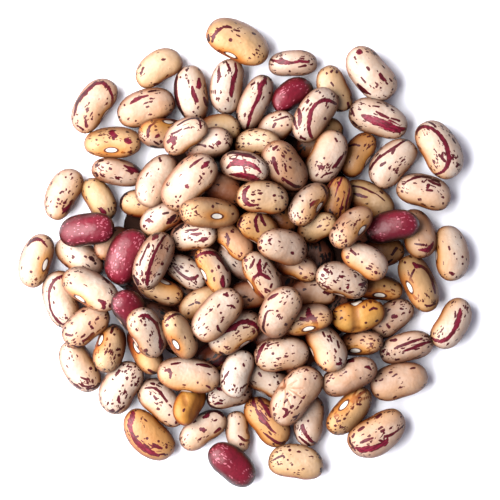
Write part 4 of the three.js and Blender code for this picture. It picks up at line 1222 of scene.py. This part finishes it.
# The patterns of a coat. Their scales are in waves to a mm, and the rest say how strongly a pattern
# shows, or between which of its values it fades in.
OWN_SHIFT = (37, 41, 43)
CLOUDS = 0.22
MOTTLES = 1.4
WANDERS = 1.1
CROWDS = 0.3
FIBRES = (0.7, 2.2, 2.2)
TAN_SPREAD = 1.2
TAN_LEVEL = -0.65
WARMEST_AT = -0.95
MOTTLED = (0.4, 0.7)
FOLD_BROWNING_AND_SHADE = (0.2, 0.8)

# Flecks: how far they stray from their rows, how crowded they are, and how large they come out.
WANDER_BY = (1.1, 0.8, 0.8)
CROWD_SPREAD = 2.0
CROWD_LEVEL = -1.2
CROWD_BY_DIGIT = 0.5
CROWD_BY_WAY = (0.26, 0, -0.1)
CHOSEN_FROM = 1.0
LARGEST_AT = 1.16
FLECK_REACH = (0.04, 0.44)
FLECK_EDGE = (-0.02, 0.04)

# Streaks, bands and marks: how much their edges fray, and over what width an edge fades.
STREAK_FRAY = 0.2
STREAK_BY_DIGIT = 0.05
STREAK_EDGE = 0.02
EDGE_FRAY = 1.5
BAND_FRAYED = -0.8
BAND_EDGE = 0.12
MARK_FRAYED = 0.42
MARK_NEAR = 0.6
MARK_EDGE = (-0.07, 0.1)
DARK_FROM = 0.62
LIGHT_FROM = 0.4
LIGHT_LEAST = 0.15

# The eye: half its length and width in mm, and the halo, rim and scar in those halves.
EYE_HALVES = (1.55, 0.66)
EYE_SIDE = -0.2
HALO = (3.8, 1.1)
HALO_MOST = 0.75
RIM = (1.4, 1.12)
SCAR = (0.98, 0.8)
RIM_BROWN = "#54281A"
SCAR_WHITE = "#C4BDB4"

# Painted shade: how the colour deepens where a coat turns away, and with the mm that it lies below the heap,
# and how it reddens there.
EDGE = (0.12, 0.85)
DEEPENED = 1.12
DEEPEST_MM = 8.0
DEEPEST = 1.9
REDDENED = (1.4, 2.8)
PAINTED_SHADE_RED = "#FFC8B8"

# The relief and the gloss of a coat: how much each pattern adds, and RELIEF_DEEP in metres.
CLOUD_RELIEF = 6.0
RIM_RELIEF = 0.9
MARK_RELIEF = -0.12
RELIEF_DEEP = 0.00016
GLOSS_SPREAD = 0.2


def seed_coat(name, look):
    """A dry bean's seed coat: hard, satin and smooth, with its marks running from end to end."""
    material, tree = new_material(name)
    smooth = {"interpolation_type": "SMOOTHSTEP"}
    coat_mm, way, draws, coat, field, depth, mark_one, mark_two = (
        add(tree, "Attribute", output="Vector", attribute_name=f"bean_{key}")
        for key in COAT_KEYS
    )
    tone, warmth, amount = (add(tree, "SeparateXYZ", {0: coat}, axis) for axis in "XYZ")
    band, boldness, free = (add(tree, "SeparateXYZ", {0: field}, axis) for axis in "XYZ")
    side = add(tree, "SeparateXYZ", {0: way}, "Y")
    place = add(tree, "VectorMath", {0: draws, 1: OWN_SHIFT, 2: coat_mm}, operation="MULTIPLY_ADD")

    # The ground: uneven, clouded over a few mm, and warmer on the side of the eye.
    cloud = add(tree, "TexNoise", {"Vector": place, "Scale": CLOUDS, "Detail": 3}, "Fac")
    mottle = add(tree, "TexNoise", {"Vector": place, "Scale": MOTTLES, "Detail": 3}, "Fac")
    wander = add(tree, "TexNoise", {"Vector": place, "Scale": WANDERS, "Detail": 2}, "Color")
    uneven = add(tree, "Math", {0: cloud, 1: TAN_SPREAD, 2: TAN_LEVEL}, operation="MULTIPLY_ADD")
    uneven = add(tree, "Math", {0: tone, 1: 1.0, 2: uneven}, operation="MULTIPLY_ADD", use_clamp=True)
    greys = {"Factor": uneven, 6: srgb(look["ground"]), 7: srgb(look["tan"])}
    colour = add(tree, "Mix", greys, 2, data_type="RGBA")
    toward_eye = add(tree, "MapRange", {0: side, 1: look["warm_from"], 2: WARMEST_AT}, **smooth)
    by_digit = {0: warmth, 1: look["warm_spread"], 2: look["warm_least"]}
    warm = add(tree, "Math", by_digit, operation="MULTIPLY_ADD")
    warm = add(tree, "Math", {0: toward_eye, 1: warm}, operation="MULTIPLY", use_clamp=True)
    warmed = {"Factor": warm, 6: colour, 7: srgb(look["eye_side"])}
    colour = add(tree, "Mix", warmed, 2, data_type="RGBA")
    fine = add(tree, "MapRange", {0: mottle, 1: MOTTLED[0], 2: MOTTLED[1], 4: look["mottling"]}, **smooth)
    mottled = {"Factor": fine, 6: colour, 7: srgb(look["tan"])}
    colour = add(tree, "Mix", mottled, 2, data_type="RGBA")

    # The coat is tinted brown where it is folded in: its own browning, and in the fine wrinkles painted shade
    # in their grooves.
    fold = add(tree, "SeparateXYZ", {0: depth}, "Y")
    fold = add(tree, "MapRange", {0: fold, 1: FOLD_BROWNING_AND_SHADE[0], 2: FOLD_BROWNING_AND_SHADE[1], 4: look["folded"]}, **smooth)
    folded = {"Factor": fold, 6: colour, 7: srgb(look["fold"])}
    colour = add(tree, "Mix", folded, 2, data_type="RGBA")

    # Flecks: sharp dashes along the bean, large and few, and small and many toward the ends.
    shifted = add(tree, "VectorMath", {0: wander, 1: WANDER_BY, 2: place}, operation="MULTIPLY_ADD")
    crowd = add(tree, "TexNoise", {"Vector": place, "Scale": CROWDS, "Detail": 1}, "Fac")
    crowd = add(tree, "Math", {0: crowd, 1: CROWD_SPREAD, 2: CROWD_LEVEL}, operation="MULTIPLY_ADD")
    crowd = add(tree, "Math", {0: amount, 1: CROWD_BY_DIGIT, 2: crowd}, operation="MULTIPLY_ADD")
    squared = add(tree, "VectorMath", {0: way, 1: way}, operation="MULTIPLY")
    endward = add(tree, "VectorMath", {0: squared, 1: CROWD_BY_WAY}, "Value", operation="DOT_PRODUCT")
    crowd = add(tree, "Math", {0: crowd, 1: endward}, operation="ADD")
    flecked = None
    for length, width, share, held_back in look["flecks"]:
        across = (1 / length, 1 / width, 1 / width)
        cells = add(tree, "VectorMath", {0: shifted, 1: across}, operation="MULTIPLY")
        chance = add(tree, "TexVoronoi", {"Vector": cells, "Scale": 1}, "Color")
        chance = add(tree, "SeparateXYZ", {0: chance}, "X")
        distance = add(tree, "TexVoronoi", {"Vector": cells, "Scale": 1}, "Distance")
        most = add(tree, "Math", {0: crowd, 1: share}, operation="ADD")
        most = add(tree, "Math", {0: chance, 1: most}, operation="ADD")
        sizes = {0: most, 1: CHOSEN_FROM, 2: LARGEST_AT, 3: FLECK_REACH[0], 4: FLECK_REACH[1]}
        reach = add(tree, "MapRange", sizes)
        chosen = add(tree, "Math", {0: most, 1: CHOSEN_FROM}, operation="GREATER_THAN")
        held = add(tree, "Math", {0: free, 1: held_back, 2: -held_back}, operation="MULTIPLY_ADD")
        reach = add(tree, "Math", {0: reach, 1: held}, operation="ADD")
        inside = add(tree, "Math", {0: reach, 1: distance}, operation="SUBTRACT")
        layer = add(tree, "MapRange", {0: inside, 1: FLECK_EDGE[0], 2: FLECK_EDGE[1]}, **smooth)
        layer = add(tree, "Math", {0: layer, 1: chosen}, operation="MULTIPLY")
        if flecked:
            layer = add(tree, "Math", {0: flecked, 1: layer}, operation="MAXIMUM")
        flecked = layer

    # Streaks and the bold band run from end to end and fray at their edges.
    ends = add(tree, "VectorMath", {0: way, 1: look["streak_scale"]}, operation="MULTIPLY")
    ends = add(tree, "VectorMath", {0: draws, 1: OWN_SHIFT, 2: ends}, operation="MULTIPLY_ADD")
    warped = {"Vector": ends, "Scale": 1, "Detail": 2.5, "Roughness": 0.55, "Distortion": 0.25}
    streak = add(tree, "TexNoise", warped, "Fac")
    fibres = add(tree, "VectorMath", {0: place, 1: FIBRES}, operation="MULTIPLY")
    fray = add(tree, "TexNoise", {"Vector": fibres, "Scale": 1, "Detail": 3}, "Fac")
    streak = add(tree, "Math", {0: fray, 1: STREAK_FRAY, 2: streak}, operation="MULTIPLY_ADD")
    streak = add(tree, "Math", {0: amount, 1: STREAK_BY_DIGIT, 2: streak}, operation="MULTIPLY_ADD")
    begins = look["streak_from"]
    streak = add(tree, "MapRange", {0: streak, 1: begins, 2: begins + STREAK_EDGE}, **smooth)
    torn = add(tree, "Math", {0: fray, 1: EDGE_FRAY, 2: BAND_FRAYED}, operation="MULTIPLY_ADD")
    torn = add(tree, "Math", {0: torn, 1: band}, operation="ADD")
    torn = add(tree, "MapRange", {0: torn, 1: 0, 2: BAND_EDGE, 4: look["band"]}, **smooth)
    bold = add(tree, "Math", {0: streak, 1: torn}, operation="MAXIMUM")
    bold = add(tree, "Math", {0: bold, 1: free}, operation="MULTIPLY")

    # Marks with a place of their own, frayed in the same way.
    rough = add(tree, "Math", {0: fray, 1: EDGE_FRAY, 2: MARK_FRAYED}, operation="MULTIPLY_ADD")
    for mark in (mark_one, mark_two):
        flat = add(tree, "VectorMath", {0: mark, 1: (1, 1, 0)}, operation="MULTIPLY")
        flat = add(tree, "VectorMath", {0: flat}, "Value", operation="LENGTH")
        near = add(tree, "SeparateXYZ", {0: mark}, "Z")
        near = add(tree, "Math", {0: near, 1: MARK_NEAR}, operation="LESS_THAN")
        inside = add(tree, "Math", {0: rough, 1: flat}, operation="SUBTRACT")
        painted = add(tree, "MapRange", {0: inside, 1: MARK_EDGE[0], 2: MARK_EDGE[1]}, **smooth)
        painted = add(tree, "Math", {0: painted, 1: near}, operation="MULTIPLY")
        bold = add(tree, "Math", {0: bold, 1: painted}, operation="MAXIMUM")

    # Broad marks are wine red, clouded lighter, and narrow ones and flecks are nearly brown.
    boldness = add(tree, "Math", {0: boldness, 1: free}, operation="MAXIMUM")
    clouding = {0: fray, 1: DARK_FROM, 2: LIGHT_FROM, 3: LIGHT_LEAST, 4: 1.0}
    light = add(tree, "MapRange", clouding, **smooth)
    light = add(tree, "Math", {0: light, 1: boldness}, operation="MULTIPLY")
    wines = {"Factor": light, 6: srgb(look["mark_deep"]), 7: srgb(look["mark"])}
    wine = add(tree, "Mix", wines, 2, data_type="RGBA")
    fleck_hue = {"Factor": flecked, 6: colour, 7: srgb(look["fleck"])}
    colour = add(tree, "Mix", fleck_hue, 2, data_type="RGBA")
    colour = add(tree, "Mix", {"Factor": bold, 6: colour, 7: wine}, 2, data_type="RGBA")

    # The eye: a white oval scar in a thin dark rim, in an orange halo.
    per_half = (1 / EYE_HALVES[0], 0, 1 / EYE_HALVES[1])
    oval = add(tree, "VectorMath", {0: coat_mm, 1: per_half}, operation="MULTIPLY")
    eye = add(tree, "VectorMath", {0: oval}, "Value", operation="LENGTH")
    behind = add(tree, "Math", {0: side, 1: EYE_SIDE}, operation="GREATER_THAN")
    eye = add(tree, "Math", {0: behind, 1: FAR, 2: eye}, operation="MULTIPLY_ADD")
    halo = add(tree, "MapRange", {0: eye, 1: HALO[0], 2: HALO[1], 4: HALO_MOST}, **smooth)
    rim = add(tree, "MapRange", {0: eye, 1: RIM[0], 2: RIM[1]}, **smooth)
    scar = add(tree, "MapRange", {0: eye, 1: SCAR[0], 2: SCAR[1]}, **smooth)
    for share, hue in ((halo, look["halo"]), (rim, RIM_BROWN), (scar, SCAR_WHITE)):
        colour = add(tree, "Mix", {"Factor": share, 6: colour, 7: srgb(hue)}, 2, data_type="RGBA")

    # Painted shade: a coat is painted deeper in colour where it turns away from the camera. Layer Weight
    # paints that, so it slides with the view. It is also painted far deeper and redder low in the heap,
    # as the shade there and the light that goes from coat to coat.
    edge = add(tree, "LayerWeight", {"Blend": 0.5}, "Facing")
    painted_edge_shade = {0: edge, 1: EDGE[0], 2: EDGE[1], 3: DEEPENED, 4: look["edge"]}
    edge = add(tree, "MapRange", painted_edge_shade, **smooth)
    depth = add(tree, "SeparateXYZ", {0: depth}, "X")
    deep = add(tree, "MapRange", {0: depth, 1: 0.0, 2: DEEPEST_MM, 3: 0.0, 4: DEEPEST}, **smooth)
    deep = add(tree, "Math", {0: edge, 1: deep}, operation="ADD")
    colour = add(tree, "Gamma", {"Color": colour, "Gamma": deep})
    deep = add(tree, "MapRange", {0: deep, 1: REDDENED[0], 2: REDDENED[1]})
    painted_shade_reddening = {"Factor": deep, 6: colour, 7: srgb(PAINTED_SHADE_RED)}
    colour = add(tree, "Mix", painted_shade_reddening, 2, data_type="RGBA", blend_type="MULTIPLY")

    # Dry coats are slightly uneven to the touch and sink a little at their marks.
    relief = add(tree, "Math", {0: cloud, 1: CLOUD_RELIEF, 2: mottle}, operation="MULTIPLY_ADD")
    relief = add(tree, "Math", {0: rim, 1: RIM_RELIEF, 2: relief}, operation="MULTIPLY_ADD")
    relief = add(tree, "Math", {0: bold, 1: MARK_RELIEF, 2: relief}, operation="MULTIPLY_ADD")
    bump = add(tree, "Bump", {"Height": relief, "Strength": 0.6, "Distance": RELIEF_DEEP})
    smoothest = look["roughness"] - GLOSS_SPREAD / 2
    gloss = add(tree, "Math", {0: cloud, 1: GLOSS_SPREAD, 2: smoothest}, operation="MULTIPLY_ADD")
    finish = {"Base Color": colour, "Roughness": gloss, "Normal": bump}
    finish["Specular IOR Level"] = look["specular"]
    add(tree, "OutputMaterial", {"Surface": add(tree, "BsdfPrincipled", finish)})
    return material


def dress(piece, material):
    """Gives a piece its coat and lets it ride with the heap that it stands for."""
    piece.data.materials.append(material)
    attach(piece, "root")
    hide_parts("bean_heap")


around = heights_of_the_heap()
bean_ball, bean_faces = model_ball(BEAN_SIDES, BEAN_RINGS)
cream = {
    "ground": "#B1A69D",
    "tan": "#9A765C",
    "eye_side": "#A0743E",
    "fold": "#8A5630",
    "folded": 0.5,
    "halo": "#A06E2A",
    # The gamma of the painted shade where a coat turns away from the camera.
    "edge": 2.1,
    "mark": "#721530",
    "mark_deep": "#460B17",
    "fleck": "#4A1018",
    "flecks": ((2.4, 1.1, 0.27, 0.34), (1.9, 0.7, 0.34, 0.03), (1.1, 0.45, 0.1, 0.0)),
    "streak_scale": (1.2, 1.9, 1.9),
    "streak_from": 0.78,
    "band": 0.0,
    "warm_from": 0.25,
    "warm_least": 0.0,
    "warm_spread": 1.1,
    "mottling": 0.2,
    "roughness": 0.46,
    "specular": 0.24,
}
flecked = join_beans("beans_flecked", "c", bean_ball, bean_faces)
dress(flecked, seed_coat("cream_seed_coat_with_flecks", cream))


# --- Streaked beans ----------------------------------------------------------------------------
# Beans of the same dry seed coat, with bold, frayed wine-red streaks from end to end between the
# flecks. They are copies of the one bean and rest among the others.
streaky = {**cream, "streak_from": 0.67}
streaked = join_beans("beans_streaked", "s", bean_ball, bean_faces)
dress(streaked, seed_coat("cream_seed_coat_with_streaks", streaky))


# --- Banded beans ------------------------------------------------------------------------------
# Beans of the same seed coat on which one bold band runs round the back and curls over an end. Its
# edges are frayed, as those of the streaks are.
bold = {**cream, "band": 1.0, "streak_from": 0.76}
banded = join_beans("beans_banded", "b", bean_ball, bean_faces)
dress(banded, seed_coat("cream_seed_coat_with_a_band", bold))


# --- Amber beans -------------------------------------------------------------------------------
# Beans whose coat has turned warm tan to amber towards the eye, with fewer streaks. Where the coat
# has folded in, it is browned more deeply than on the cream ones.
warm = {
    **cream,
    "ground": "#B29B87",
    "tan": "#957852",
    "eye_side": "#A8845C",
    "halo": "#A0641E",
    "fold": "#6A2C10",
    "folded": 0.85,
    "streak_from": 0.82,
    "warm_from": 0.4,
    "warm_spread": 1.0,
}
amber = join_beans("beans_amber", "a", bean_ball, bean_faces)
dress(amber, seed_coat("amber_seed_coat", warm))


# --- Striped tan beans -------------------------------------------------------------------------
# Beans with a darker tan coat and narrow maroon stripes that run the whole length. The stripes are
# the streaks drawn longer along the bean and finer across it.
striped = {
    **cream,
    "ground": "#AC8E6C",
    "tan": "#94683E",
    "eye_side": "#9E7648",
    "warm_from": 0.5,
    "streak_scale": (0.5, 3.0, 3.0),
    "streak_from": 0.66,
}
tan = join_beans("beans_striped_tan", "t", bean_ball, bean_faces)
dress(tan, seed_coat("tan_seed_coat_with_stripes", striped))


# --- Dark red beans ----------------------------------------------------------------------------
# A few beans are wine red all over, clouded, with tiny pale specks and dashes. Their coat is a
# little glossier than the cream ones, and its marks are paler than its ground.
wine = {
    **cream,
    "ground": "#7A182E",
    "tan": "#560E1E",
    "eye_side": "#581022",
    "halo": "#401010",
    "mark": "#9A5C68",
    "mark_deep": "#8C4E5A",
    "fleck": "#9A5864",
    "flecks": ((1.0, 0.42, 0.2, 0.0),),
    "streak_from": 1.3,
    "mottling": 0.4,
    "roughness": 0.42,
    "specular": 0.34,
}
dark_red = join_beans("beans_dark_red", "r", bean_ball, bean_faces)
dress(dark_red, seed_coat("wine_red_seed_coat", wine))


# --- Mustard beans -----------------------------------------------------------------------------
# Old beans whose coat has yellowed to mustard, with hardly a mark. Where such a bean has folded in
# as it shrank, its coat is browned.
yellowed = {
    **cream,
    "ground": "#AC864E",
    "tan": "#9C7038",
    "eye_side": "#9E6A2A",
    "halo": "#8A5420",
    "fold": "#74441E",
    "folded": 0.6,
    "flecks": ((1.3, 0.75, 0.12, 0.0),),
    "streak_from": 0.9,
    "warm_from": 0.6,
    "warm_least": 0.3,
    "warm_spread": 0.5,
}
mustard = join_beans("beans_mustard", "m", bean_ball, bean_faces)
dress(mustard, seed_coat("mustard_seed_coat", yellowed))


# --- Wrinkled bean -----------------------------------------------------------------------------
# One large bean whose coat has shrunk into fine cross wrinkles over one end. It is modelled from a
# finer sphere, so that the wrinkles are pressed into its mesh, and is laid as the others are.
FINE_SIDES = 150
FINE_RINGS = 130
fine_ball, fine_faces = model_ball(FINE_SIDES, FINE_RINGS)
wrinkled = join_beans("bean_wrinkled", "w", fine_ball, fine_faces)
# The wrinkles are tinted brown in their grooves: painted shade, which the lamp from the side hardly gives
# them.
shrunk = {**cream, "fold": "#8C5A30", "folded": 0.45}
dress(wrinkled, seed_coat("wrinkled_cream_seed_coat", shrunk))


# --- Floor, light and camera -------------------------------------------------------------------
# White paper beside a large soft lamp that stands close on the left, about as high as it is far,
# with a little light all round. The camera looks straight down from far enough away that the heap
# is seen nearly flat. The frame is in mm, and the lamp in metres, degrees and watts.
FLOOR_SIZE = 4
FRAME_MIDDLE = (1.125, 0.625)
FRAME_WIDTH = 125
LENS = 200
SENSOR = 36
FOCUS_HEIGHT = 8
SEEN_AS_FAR_AS = 10
LAMP_DISTANCE = 0.42
LAMP_AROUND = 177
LAMP_ABOVE = 46
LAMP_SIZE = 0.5
LAMP_POWER = 11.2
SKY_STRENGTH = 0.35

bpy.ops.object.select_all(action="DESELECT")
bpy.ops.mesh.primitive_plane_add(size=FLOOR_SIZE)
floor = bpy.context.object
floor.name = "floor"
material, tree = new_material("matt_white_paper")
paper = add(tree, "BsdfPrincipled", {"Base Color": srgb("#F2F4FC"), "Roughness": 0.9})
add(tree, "OutputMaterial", {"Surface": paper})
floor.data.materials.append(material)

light = bpy.data.lights.new("key_light", "AREA")
light.shape = "SQUARE"
light.size = LAMP_SIZE
light.energy = LAMP_POWER
light.color = srgb("#FFFEFC")[:3]
lamp = bpy.data.objects.new("key_light", light)
beside = LAMP_DISTANCE * math.cos(math.radians(LAMP_ABOVE))
lamp.location = (
    beside * math.cos(math.radians(LAMP_AROUND)),
    beside * math.sin(math.radians(LAMP_AROUND)),
    LAMP_DISTANCE * math.sin(math.radians(LAMP_ABOVE)),
)
lamp.rotation_mode = "QUATERNION"
lamp.rotation_quaternion = (-lamp.location).to_track_quat("-Z", "Y")
bpy.context.scene.collection.objects.link(lamp)

world = bpy.data.worlds.new("studio")
bpy.context.scene.world = world
world.use_nodes = True
world.node_tree.nodes.clear()
sky = add(world.node_tree, "Background", {"Color": srgb("#E4E0F2"), "Strength": SKY_STRENGTH})
add(world.node_tree, "OutputWorld", {"Surface": sky})
bpy.context.scene.view_settings.view_transform = "Standard"

camera_data = bpy.data.cameras.new("camera")
camera_data.lens = LENS
camera_data.sensor_width = SENSOR
camera = bpy.data.objects.new("camera", camera_data)
distance = FRAME_WIDTH * LENS / SENSOR + FOCUS_HEIGHT
camera.location = (FRAME_MIDDLE[0] * MM, FRAME_MIDDLE[1] * MM, distance * MM)
camera_data.clip_end = SEEN_AS_FAR_AS
bpy.context.scene.collection.objects.link(camera)
bpy.context.scene.camera = camera
